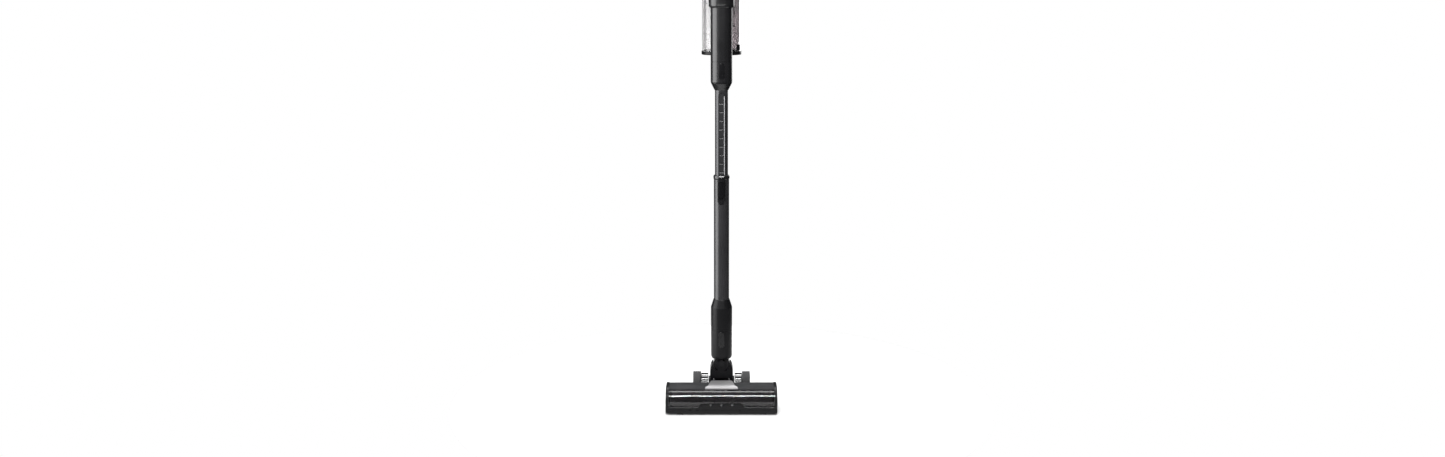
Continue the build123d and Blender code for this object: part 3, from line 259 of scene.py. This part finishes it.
# painted shade: a still darker, duller copy of the satin for the neck yoke and ears, darkened for the shade between the
# head and the wheels
NECK_SHADED = moulded("neck_black_painted_shade", (0.0035, 0.0035, 0.004), rough=0.34, grain=0.35, rough_var=0.04, spec=0.1)
TRIM = anodised("bridge_trim", (0.23, 0.227, 0.23), rough=0.42, metal=0.6, axis="X")
BUTTON = moulded("button_black", (0.004, 0.004, 0.0045), rough=0.22, grain=0.8, grain_depth=0.000006, spec=0.3)
CYCL = moulded("cyclone_grey", (0.11, 0.105, 0.108), rough=0.34, grain=0.5)
TUBE = anodised("anodised_tube", (0.022, 0.022, 0.0235), rough=0.26, metal=0.3)
TUBE2 = anodised("anodised_inner", (0.032, 0.032, 0.034), rough=0.22, metal=0.5)
LIP = anodised("index_metal", (0.17, 0.17, 0.175), rough=0.34, metal=0.9)
STEEL = turned("steel", (0.58, 0.58, 0.60))
MOTOR = turned("motor_metal", (0.42, 0.42, 0.44), 0.36)
BRASS = turned("brass", (0.78, 0.60, 0.30), 0.25)
FAN = turned("fan_grey", (0.60, 0.61, 0.63), 0.24)
TYRE = rubber("tyre_rubber", (0.022, 0.022, 0.023))
SOFT = rubber("soft_grip", (0.014, 0.014, 0.015), 0.74)
WINDOW = clear("smoked_window", (0.30, 0.29, 0.30), rough=0.015, ior=1.42, film=0.05)
BIN = clear("clear_bin", (0.93, 0.92, 0.925), rough=0.02, ior=1.36, film=0.06)
LAMP = clear("lamp_clear", (0.92, 0.94, 0.97), rough=0.05, ior=1.45)
SCREEN = moulded("display_glass", (0.004, 0.004, 0.005), rough=0.05, grain=2.0, grain_depth=0.000001, coat=1.0, rough_var=0.02)
PILE = fabric("roller_pile", (0.075, 0.072, 0.075))
BRIST = fabric("bristle", (0.03, 0.03, 0.03), stretch=(1, 1, 0.1))
PAPER = fabric("filter_paper", (0.72, 0.70, 0.64), depth=0.0001)
BOARD = moulded("board_green", (0.015, 0.09, 0.045), rough=0.35, grain=0.6)
CELL = moulded("cell_wrap", (0.04, 0.15, 0.30), rough=0.3, grain=1.0, grain_depth=0.00001)

LOOK = {
    "head_housing": MATTE, "head_window": WINDOW, "front_bumper": BLACK, "end_cap_left": BLACK, "end_cap_right": BLACK,
    "centre_bridge": TRIM, "sole_plate": BLACK, "rear_bristle_strip": BRIST, "sole_screws": STEEL, "head_motor": MOTOR,
    "tail_arm_left": GLOSS, "tail_arm_right": GLOSS, "axle_pins": STEEL, "neck_ears": NECK_SHADED, "pitch_pins": STEEL,
    "head_lamps": LAMP, "roller_core": BLACK, "roller_fabric": PILE, "rear_wheel_left": BLACK, "rear_wheel_right": BLACK,
    "rear_tyre_left": TYRE, "rear_tyre_right": TYRE, "front_roller_left": BLACK, "front_roller_right": BLACK,
    "neck_yoke": NECK_SHADED, "swivel_pins": BLACK, "head_connector": SATIN_SHADED, "head_release_button": BUTTON, "wand_sleeve": SATIN_SHADED,
    "outer_tube": TUBE, "tube_collar": SATIN, "length_slider": BUTTON, "lock_pawl": STEEL, "inner_tube": TUBE2,
    "upper_connector": SATIN, "wand_release_button": BUTTON, "inlet_tube": SATIN, "front_housing": SATIN,
    "circuit_board": BOARD, "motor_housing": SATIN, "motor_stator": MOTOR, "fan_rotor": FAN, "cyclone_shroud": CYCL,
    "cyclone_cones": CYCL, "handle_left": HANDLE, "handle_right": HANDLE, "display_lens": SCREEN, "battery_dock": HANDLE,
    "dust_bin": BIN, "bin_lid": BLACK, "bin_latch": BUTTON, "lid_hinge_pin": STEEL, "filter_cap": BLACK,
    "filter_element": PAPER, "power_trigger": BLACK, "boost_button": BUTTON, "battery_case": HANDLE, "battery_cells": CELL,
    "battery_button": BUTTON, "charging_jack": BRASS,
}
for node, obj in N.items():
    obj.data.materials.clear()
    obj.data.materials.append(LOOK[node])


# ================================================================ mesh tools
def make(name, verts, faces, mat, body, smooth=True, auto=None):
    me = bpy.data.meshes.new(name)
    me.from_pydata([tuple(v) for v in verts], [], faces)
    me.validate()
    me.update()
    ob = bpy.data.objects.new(name, me)
    scene.collection.objects.link(ob)
    me.materials.append(mat)
    bm = bmesh.new()
    bm.from_mesh(me)
    bmesh.ops.recalc_face_normals(bm, faces=bm.faces)
    bm.to_mesh(me)
    bm.free()
    for p in me.polygons:
        p.use_smooth = smooth
    if smooth:
        sharp_by_angle(me, auto if auto is not None else 38)
    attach(ob, body)
    return ob


def sharp_by_angle(me, deg):
    bm = bmesh.new()
    bm.from_mesh(me)
    lim = math.radians(deg)
    for e in bm.edges:
        e.smooth = not (len(e.link_faces) == 2 and e.calc_face_angle(0.0) > lim)
    bm.to_mesh(me)
    bm.free()


def lathe(name, prof, centre, mat, body, axis="Z", seg=96, a0=0.0, a1=360.0):
    """Closed profile of (radius, height) points turned about an axis through centre."""
    full = abs(a1 - a0) >= 359.9
    cnt = seg if full else seg + 1
    verts, faces = [], []
    k = len(prof)
    for i in range(cnt):
        a = math.radians(a0 + (a1 - a0) * i / seg)
        for r, h in prof:
            u, v = r * math.cos(a), r * math.sin(a)
            if axis == "Z":
                verts.append((centre[0] + u, centre[1] + v, centre[2] + h))
            elif axis == "X":
                verts.append((centre[0] + h, centre[1] + u, centre[2] + v))
            else:
                verts.append((centre[0] + u, centre[1] + h, centre[2] + v))
    for i in range(cnt if full else cnt - 1):
        j = (i + 1) % cnt
        for q in range(k):
            w = (q + 1) % k
            faces.append((i * k + q, i * k + w, j * k + w, j * k + q))
    if not full:
        faces.append(tuple(range(k)))
        faces.append(tuple((cnt - 1) * k + q for q in reversed(range(k))))
    return make(name, verts, faces, mat, body)


def soft_box(name, size, at, mat, body, slot=None, bevel=0.0006, seg=2, rot=None):
    bm = bmesh.new()
    bmesh.ops.create_cube(bm, size=1.0)
    bmesh.ops.scale(bm, vec=size, verts=bm.verts)
    bmesh.ops.bevel(bm, geom=list(bm.edges), offset=min(bevel, min(size) * 0.45), segments=seg, affect="EDGES", profile=0.6)
    if rot is not None:
        bmesh.ops.transform(bm, matrix=rot, verts=bm.verts)
    bmesh.ops.translate(bm, vec=at, verts=bm.verts)
    verts = [tuple(v.co) for v in bm.verts]
    idx = {v: i for i, v in enumerate(bm.verts)}
    faces = [tuple(idx[v] for v in f.verts) for f in bm.faces]
    bm.free()
    return make(name, verts, faces, mat, body)


def merge(name, objs, mat, body):
    """Joins plain mesh objects into one piece."""
    bm = bmesh.new()
    for o in objs:
        tmp = o.data.copy()
        tmp.transform(o.matrix_world)
        bm.from_mesh(tmp)
        bpy.data.meshes.remove(tmp)
    me = bpy.data.meshes.new(name)
    bm.to_mesh(me)
    bm.free()
    for o in objs:
        old = o.data
        bpy.data.objects.remove(o)
        bpy.data.meshes.remove(old)
    me.materials.clear()
    me.materials.append(mat)
    for p in me.polygons:
        p.use_smooth = True
    ob = bpy.data.objects.new(name, me)
    scene.collection.objects.link(ob)
    sharp_by_angle(me, 38)
    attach(ob, body)
    return ob


# ================================================================ roller: pile and brush rows
def roller_pile():
    """Velour pile with two helical rows of stiffer bristle, wound over the core."""
    lo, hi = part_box("roller_fabric")
    x0, x1 = lo.x, hi.x
    cy, cz = ROLL[1], ROLL[2]
    rc = (hi.z - lo.z) / 2
    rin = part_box("roller_core")
    r_in = (rin[1].z - rin[0].z) / 2 - 0.0004
    nx, na = 236, 150
    verts, faces = [], []
    for i in range(nx + 1):
        x = x0 + (x1 - x0) * i / nx
        end = min(1.0, min(i, nx - i) / 3.0)
        for j in range(na):
            a = 2 * math.pi * j / na
            r = rc - 0.0010 - 0.0018 * (1 - end)
            row = (a / (2 * math.pi) * 4 + (abs(x) / 0.11) * 0.9) % 1.0
            if row < 0.16:
                r += 0.0016 * math.sin(math.pi * row / 0.16) * (0.8 + 0.2 * rng.random())
            else:
                r += rng.uniform(-0.0006, 0.0005)
            verts.append((x + rng.uniform(-0.0002, 0.0002) * (0 if i in (0, nx) else 1), cy + r * math.cos(a), cz + r * math.sin(a)))
    for i in range(nx):
        for j in range(na):
            k = (j + 1) % na
            faces.append((i * na + j, (i + 1) * na + j, (i + 1) * na + k, i * na + k))
    for end, sign in ((0, 1), (nx, -1)):
        x = x0 if end == 0 else x1
        base = len(verts)
        for j in range(na):
            a = 2 * math.pi * j / na
            verts.append((x, cy + r_in * math.cos(a), cz + r_in * math.sin(a)))
        for j in range(na):
            k = (j + 1) % na
            faces.append((end * na + j, end * na + k, base + k, base + j))
    ob = make("roller_pile", verts, faces, PILE, "brush_roller")
    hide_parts("roller_fabric")
    return ob


roller_pile()


# ================================================================ rear bristle strip: tufts on a backing
def bristles():
    lo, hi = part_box("rear_bristle_strip")
    verts, faces = [], []

    def prism(p, q, r0, r1, k=5, a0=0.0):
        b = len(verts)
        for c, r in ((p, r0), (q, r1)):
            for i in range(k):
                a = a0 + 2 * math.pi * i / k
                verts.append((c[0] + r * math.cos(a), c[1] + r * math.sin(a), c[2]))
        for i in range(k):
            j = (i + 1) % k
            faces.append((b + i, b + j, b + k + j, b + k + i))
        faces.append(tuple(b + i for i in reversed(range(k))))
        faces.append(tuple(b + k + i for i in range(k)))

    n = 74
    top = hi.z
    root = lo.z + (hi.z - lo.z) * 0.55
    yc = (lo.y + hi.y) / 2
    for i in range(n):
        x = lo.x + 0.0016 + (hi.x - lo.x - 0.0032) * i / (n - 1)
        for f in range(9):
            a = rng.uniform(0, 2 * math.pi)
            s = rng.uniform(0.0, 0.0008)
            ox, oy = s * math.cos(a), s * math.sin(a)
            tip = (x + ox * 1.4 + rng.uniform(-0.0003, 0.0003), yc + oy * 1.2, lo.z + rng.uniform(0, 0.0006))
            prism((x + ox, yc + oy, root + 0.001), tip, 0.00020, 0.00011, 4, a)
    b = len(verts)
    h = (hi.y - lo.y) / 2
    sec = [(-h, root), (h, root), (h, top - 0.0004), (h - 0.0004, top), (-h + 0.0004, top), (-h, top - 0.0004)]
    for x in (lo.x, hi.x):
        for y, z in sec:
            verts.append((x, yc + y, z))
    k = len(sec)
    for i in range(k):
        j = (i + 1) % k
        faces.append((b + i, b + j, b + k + j, b + k + i))
    faces.append(tuple(b + i for i in reversed(range(k))))
    faces.append(tuple(b + k + i for i in range(k)))
    ob = make("bristle_tufts", verts, faces, BRIST, "floor_head")
    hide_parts("rear_bristle_strip")


bristles()


# ================================================================ grooved tyres
def tyre(side):
    lo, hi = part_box("rear_tyre_" + side)
    cx, cy, cz = AXLE[side]
    w = (hi.x - lo.x) / 2
    ro = (hi.z - lo.z) / 2
    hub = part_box("rear_wheel_" + side)
    ri = min((hub[1].z - hub[0].z) / 2, ro - 0.0012) - 0.0006
    prof = [(ri, -w), (ro - 0.0011, -w), (ro - 0.0003, -w + 0.0008), (ro, -w + 0.0016)]
    for c in (-0.34, 0.0, 0.34):
        g = c * w * 1.5
        prof += [(ro, g - 0.0007), (ro - 0.0008, g - 0.0003), (ro - 0.0008, g + 0.0003), (ro, g + 0.0007)]
    prof += [(ro, w - 0.0016), (ro - 0.0003, w - 0.0008), (ro - 0.0011, w), (ri, w)]
    ob = lathe("grooved_tyre_" + side, prof, (cx, cy, cz), TYRE, "wheel_" + side, axis="X", seg=120)
    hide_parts("rear_tyre_" + side)


for s in ("left", "right"):
    tyre(s)


# ================================================================ small fittings
def ring(name, r0, r1, z0, z1, at, mat, body, edge=0.0004, seg=128):
    prof = [(r0, z0 + edge), (r0 + edge, z0), (r1 - edge, z0), (r1, z0 + edge), (r1, z1 - edge), (r1 - edge, z1),
            (r0 + edge, z1), (r0, z1 - edge)]
    return lathe(name, prof, (at[0], at[1], 0.0), mat, body, seg=seg)


def torx_screw(name, at, normal, r, body):
    """Countersunk screw head with a six lobed recess, its face proud by a tenth."""
    z = Vector(normal).normalized()
    q = z.to_track_quat("Z", "Y").to_matrix().to_4x4()
    n = 48
    rings = [(r, -0.0005), (r, -0.0001), (r * 0.93, 0.0)]
    verts, faces = [], []
    for rad, h in rings:
        for i in range(n):
            a = 2 * math.pi * i / n
            verts.append(Vector((rad * math.cos(a), rad * math.sin(a), h)))
    for h, k in ((0.0, 1.0), (-0.0009, 0.92)):
        for i in range(n):
            a = 2 * math.pi * i / n
            rad = r * (0.50 + 0.09 * math.cos(6 * a)) * k
            verts.append(Vector((rad * math.cos(a), rad * math.sin(a), h)))
    for b in range(4):
        for i in range(n):
            j = (i + 1) % n
            faces.append((b * n + i, b * n + j, (b + 1) * n + j, (b + 1) * n + i))
    faces.append(tuple(4 * n + i for i in range(n)))
    faces.append(tuple(i for i in reversed(range(n))))
    m = Matrix.Translation(Vector(at)) @ q
    return make(name, [m @ v for v in verts], faces, STEEL, body)


# index channel: bright drawn edge along its right wall and the lips of the index notches
ilo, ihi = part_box("inner_tube")


def prism_z(name, sec, z0, z1, mat, body):
    k = len(sec)
    verts = [(x, y, z) for z in (z0, z1) for x, y in sec]
    faces = [(i, (i + 1) % k, k + (i + 1) % k, k + i) for i in range(k)]
    faces += [tuple(reversed(range(k))), tuple(k + i for i in range(k))]
    return make(name, verts, faces, mat, body, smooth=False)


prism_z("channel_edge", [(0.0058, YW - 0.01168), (0.0070, YW - 0.01272), (0.0073, YW - 0.01268), (0.0073, YW - 0.01150)],
        0.4460, 0.7055, LIP, "upper_wand")


def notch_lips():
    verts, faces = [], []
    for i in range(13):
        zc = 0.690 - 0.0194 * i
        b = len(verts)
        for x in (-0.0041, 0.0041):
            for y, z in ((YW - 0.01198, zc - 0.0026), (YW - 0.01184, zc - 0.0016), (YW - 0.0110, zc - 0.0013), (YW - 0.0110, zc - 0.0028)):
                verts.append((x, y, z))
        for k in range(4):
            j = (k + 1) % 4
            faces.append((b + k, b + j, b + 4 + j, b + 4 + k))
        faces += [(b + 3, b + 2, b + 1, b), (b + 4, b + 5, b + 6, b + 7)]
    make("notch_lips", verts, faces, LIP, "upper_wand", smooth=False)


notch_lips()

# floor head: bevelled lip round the bumper outline, beads where the end caps meet the body
bump_lo, bump_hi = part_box("front_bumper")
YF = bump_lo.y


def outline_lip():
    h0, h1 = 0.0198, bump_hi.z
    path = [(-0.1176, h0), (-0.053, h0), (-0.0445, h1), (0.0445, h1), (0.053, h0), (0.1176, h0)]
    verts, faces = [], []
    for x, h in path:
        back = 0.0006 * max(0.0, (h - 0.024) / 0.005)
        for y, z in ((YF - 0.00012 + back, h - 0.0011), (YF + 0.00055 + back, h), (YF + 0.0012, h), (YF + 0.0012, h - 0.0011)):
            verts.append((x, y, z))
    n = len(path)
    for i in range(n - 1):
        for k in range(4):
            j = (k + 1) % 4
            faces.append((i * 4 + k, i * 4 + j, i * 4 + 4 + j, i * 4 + 4 + k))
    faces += [(3, 2, 1, 0), tuple((n - 1) * 4 + k for k in range(4))]
    make("bumper_lip", verts, faces, SATIN, "floor_head", smooth=False)


outline_lip()
CAP_R = ROLL[1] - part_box("end_cap_right")[0].y
for s, side in ((-1, "left"), (1, "right")):
    xx = 0.1183 * s
    prof = [(CAP_R - 0.0012, -0.0005), (CAP_R + 0.0001, -0.0005), (CAP_R + 0.0004, 0.0), (CAP_R + 0.0001, 0.0005), (CAP_R - 0.0012, 0.0005)]
    lathe("cap_bead_" + side, prof, (xx, ROLL[1], ROLL[2]), MATTE, "floor_head", axis="X", seg=64, a0=84, a1=196)

# bin: gasket at the top, seal ring over the lid, fill line, and a smoky dark sheet of painted shade inside the right
# front of the clear bucket
blo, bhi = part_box("dust_bin")
BIN_R = (bhi.x - blo.x) / 2
lid_lo, lid_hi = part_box("bin_lid")
ring("bin_gasket", BIN_R - 0.0036, BIN_R - 0.0023, bhi.z - 0.004, bhi.z - 0.0004, (0, YB), SOFT, "bin")
ring("lid_seal", BIN_R - 0.0052, BIN_R - 0.0024, lid_hi.z, lid_hi.z + 0.0022, (0, YB), SOFT, "lid")
for k, zz in enumerate((0.842, 0.8425)):
    ring("fill_line_%d" % k, BIN_R - 0.0001, BIN_R + 0.00012, zz, zz + 0.0003, (0, YB), CYCL, "bin", edge=0.00008)


def panel_arc(name, r0, r1, z0, z1, a0, a1, at, mat, body, seg=48):
    return lathe(name, [(r0, z0), (r1, z0), (r1, z1), (r0, z1)], (at[0], at[1], 0.0), mat, body, seg=seg, a0=a0, a1=a1)


# painted shade: a dark tinted sheet inside the clear bin on its right front, where the bin falls into shade
SMOKY_SHADE_SHEET = clear("smoky_painted_shade", (0.27, 0.235, 0.245), rough=0.22, ior=1.2, weight=0.92, film=0.1)
panel_arc("bin_smoky_painted_shade", BIN_R - 0.0034, BIN_R - 0.0026, 0.8075, 0.9395, -66, 24, (0, YB), SMOKY_SHADE_SHEET, "bin")
FROST = clear("frosted_panel", (0.72, 0.72, 0.72), rough=0.38, ior=1.2, weight=0.88, film=0.1)
panel_arc("bin_frosted_panel", BIN_R - 0.0034, BIN_R - 0.0026, 0.8075, 0.9395, 150, 246, (0, YB), FROST, "bin")

# motor housing: a helper for fine cooling ribs in a band, which is not called, and a foam disc under the filter cap
mlo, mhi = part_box("motor_housing")
MOT_R = min(mhi.x - mlo.x, mhi.y - mlo.y) / 2


def rib_band(name, cx, cy, r, z0, z1, count, skip, mat, body, slot):
    verts, faces = [], []
    for i in range(count):
        a = 2 * math.pi * (i + 0.5) / count
        if skip(a):
            continue
        w = 0.0009
        b = len(verts)
        ca, sa = math.cos(a), math.sin(a)
        for z in (z0, z1):
            for rr, ww in ((r - 0.0006, w), (r + 0.0005, w * 0.55), (r + 0.0005, -w * 0.55), (r - 0.0006, -w)):
                verts.append((cx + rr * ca - ww * sa, cy + rr * sa + ww * ca, z + (0.0006 if z == z0 and rr > r else (-0.0006 if rr > r else 0))))
        for k in range(4):
            j = (k + 1) % 4
            faces.append((b + k, b + j, b + 4 + j, b + 4 + k))
        faces.append((b + 3, b + 2, b + 1, b))
        faces.append((b + 4, b + 5, b + 6, b + 7))
    return make(name, verts, faces, mat, body, smooth=False)


flo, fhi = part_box("filter_cap")
FC_R = (fhi.x - flo.x) / 2
ring("exhaust_foam", 0.006, FC_R - 0.006, flo.z + 0.0002, flo.z + 0.0006, (0, YB), PAPER, "filter_unit", edge=0.0001)

# pleats of the filter element, a helper which is not called
elo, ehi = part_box("filter_element")
EL_R = (ehi.x - elo.x) / 2


def pleats():
    verts, faces = [], []
    n = 132
    for i in range(n):
        a = 2 * math.pi * i / n
        r = EL_R - (0.0001 if i % 2 else 0.0016)
        for z in (elo.z + 0.003, ehi.z - 0.003):
            verts.append((r * math.cos(a), YB + r * math.sin(a), z))
            verts.append(((r - 0.0008) * math.cos(a), YB + (r - 0.0008) * math.sin(a), z))
    for i in range(n):
        j = (i + 1) % n
        a, b = 4 * i, 4 * j
        faces += [(a, b, b + 2, a + 2), (a + 1, a + 3, b + 3, b + 1), (a, a + 1, b + 1, b), (a + 2, b + 2, b + 3, a + 3)]
    return make("filter_pleats", verts, faces, PAPER, "filter_unit", smooth=False)


# display: icon ring and bar in light grey, a painted glow of lit icons with no light of their own
dlo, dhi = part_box("display_lens")
dn = Vector((0, -0.9567, 0.2911))
dc = Vector((0, (dlo.y + dhi.y) / 2, (dlo.z + dhi.z) / 2))
face_off = max((Vector(v.co) - dc).dot(dn) for v in N["display_lens"].data.vertices)
dq = dn.to_track_quat("Z", "Y").to_matrix().to_4x4()
# painted glow: light grey colour standing in for the light of lit display icons
ICON_PAINTED_GLOW = moulded("icon_painted_glow", (0.30, 0.32, 0.34), rough=0.3, grain=0.8, grain_depth=0.000002)


def icons():
    place = Matrix.Translation(dc + dn * (face_off + 0.00001)) @ dq
    parts = []
    for k in range(5):
        verts, faces = [], []
        if k < 3:
            w, h, y = 0.0030, 0.0007, -0.0062 + k * 0.0018
            pts = [(-w, -h / 2), (w, -h / 2), (w, h / 2), (-w, h / 2)]
            for x, yy in pts:
                verts.append(Vector((x, yy + y, 0.0)))
            for x, yy in pts:
                verts.append(Vector((x, yy + y, 0.00004)))
            faces = [(0, 3, 2, 1), (4, 5, 6, 7), (0, 1, 5, 4), (1, 2, 6, 5), (2, 3, 7, 6), (3, 0, 4, 7)]
        else:
            n, r, y = 40, 0.0019, 0.0018 + (k - 3) * 0.0056
            for q, (rr, z) in enumerate(((r, 0.0), (r, 0.00004), (r * 0.8, 0.00004), (r * 0.8, 0.0))):
                for i in range(n):
                    a = 2 * math.pi * i / n
                    verts.append(Vector((rr * math.cos(a), y + rr * math.sin(a), z)))
            for q in range(4):
                w = (q + 1) % 4
                for i in range(n):
                    j = (i + 1) % n
                    faces.append((q * n + i, q * n + j, w * n + j, w * n + i))
        parts.append(make("icon_part_%d" % k, [place @ v for v in verts], faces, ICON_PAINTED_GLOW, "handheld", smooth=False))
    return merge("display_icons", parts, ICON_PAINTED_GLOW, "handheld")


icons()

# lamps: bounds of the clear lenses, read from the frame
llo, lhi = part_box("head_lamps")


# ================================================================ stage and light
def stage():
    m, nt, b = principled("paper_sweep")
    cloud = noise(nt, 0.9, 3)
    col = ramp(nt, cloud, [(0.3, (0.58, 0.58, 0.58)), (0.7, (0.62, 0.62, 0.62))])
    nt.links.new(col, b.inputs["Base Color"])
    fibre = noise(nt, 380, 4, 0.6)
    nt.links.new(maprange(nt, fibre, 0.62, 0.75), b.inputs["Roughness"])
    nt.links.new(bump(nt, fibre, 0.0001, 0.4), b.inputs["Normal"])
    verts, faces = [(0.0, 0.0, 0.0)], []
    seg, rings = 96, (0.1, 0.25, 0.42, 0.62)
    for r in rings:
        for i in range(seg):
            t = 2 * math.pi * i / seg
            verts.append((r * math.cos(t), r * math.sin(t), 0.0))
    for i in range(seg):
        faces.append((0, 1 + i, 1 + (i + 1) % seg))
    for k in range(len(rings) - 1):
        for i in range(seg):
            j = (i + 1) % seg
            faces.append((1 + k * seg + i, 1 + (k + 1) * seg + i, 1 + (k + 1) * seg + j, 1 + k * seg + j))
    me = bpy.data.meshes.new("sweep")
    me.from_pydata(verts, [], faces)
    me.update()
    for p in me.polygons:
        p.use_smooth = True
    me.materials.append(m)
    ob = bpy.data.objects.new("sweep", me)
    scene.collection.objects.link(ob)


stage()

world = bpy.data.worlds.new("studio")
scene.world = world
world.use_nodes = True
wt = world.node_tree
wt.nodes.clear()
w_out = wt.nodes.new("ShaderNodeOutputWorld")
w_mix = wt.nodes.new("ShaderNodeMixShader")
w_dim = wt.nodes.new("ShaderNodeBackground")
w_page = wt.nodes.new("ShaderNodeBackground")
w_path = wt.nodes.new("ShaderNodeLightPath")
w_max = wt.nodes.new("ShaderNodeMath")
w_max.operation = "MAXIMUM"
w_dim.inputs["Color"].default_value = (0.92, 0.95, 1.0, 1)
w_dim.inputs["Strength"].default_value = 0.03
w_page.inputs["Color"].default_value = (1.0, 1.0, 1.0, 1)
w_page.inputs["Strength"].default_value = 1.0
wt.links.new(w_path.outputs["Is Camera Ray"], w_max.inputs[0])
wt.links.new(w_path.outputs["Is Transmission Ray"], w_max.inputs[1])
wt.links.new(w_max.outputs[0], w_mix.inputs[0])
wt.links.new(w_dim.outputs[0], w_mix.inputs[1])
wt.links.new(w_page.outputs[0], w_mix.inputs[2])
wt.links.new(w_mix.outputs[0], w_out.inputs["Surface"])


def area(name, loc, target, w, h, power, color=(1, 1, 1)):
    d = bpy.data.lights.new(name, "AREA")
    d.shape = "RECTANGLE"
    d.size, d.size_y = w, h
    d.energy = power
    d.color = color
    o = bpy.data.objects.new(name, d)
    o.location = loc
    v = Vector(target) - Vector(loc)
    o.rotation_euler = v.to_track_quat("-Z", "Y").to_euler()
    o.visible_camera = False
    scene.collection.objects.link(o)
    return o


area("soft_left_key", (-2.44, -0.56, 0.80), (0, 0.0, 0.80), 2.4, 2.7, 124)
area("soft_left_wide", (-2.45, -0.80, 1.35), (0, 0.0, 0.95), 5.6, 1.8, 20)
area("fill_right", (2.8, -1.2, 1.3), (0, 0, 0.7), 1.2, 2.0, 0.8)
area("strip_top", (0.0, -1.62, 1.62), (0, -0.1, 0.05), 2.6, 0.13, 92)
area("top_bank", (0.0, -0.30, 2.6), (0, -0.08, 0.1), 1.0, 0.6, 14)
area("floor_wash", (0.0, 0.9, 2.4), (0, 0.15, 0.0), 1.2, 0.8, 62)
area("rear_soft", (1.2, 2.4, 1.3), (0, 0.0, 0.6), 1.2, 1.6, 14)
scene.view_settings.view_transform = "Standard"
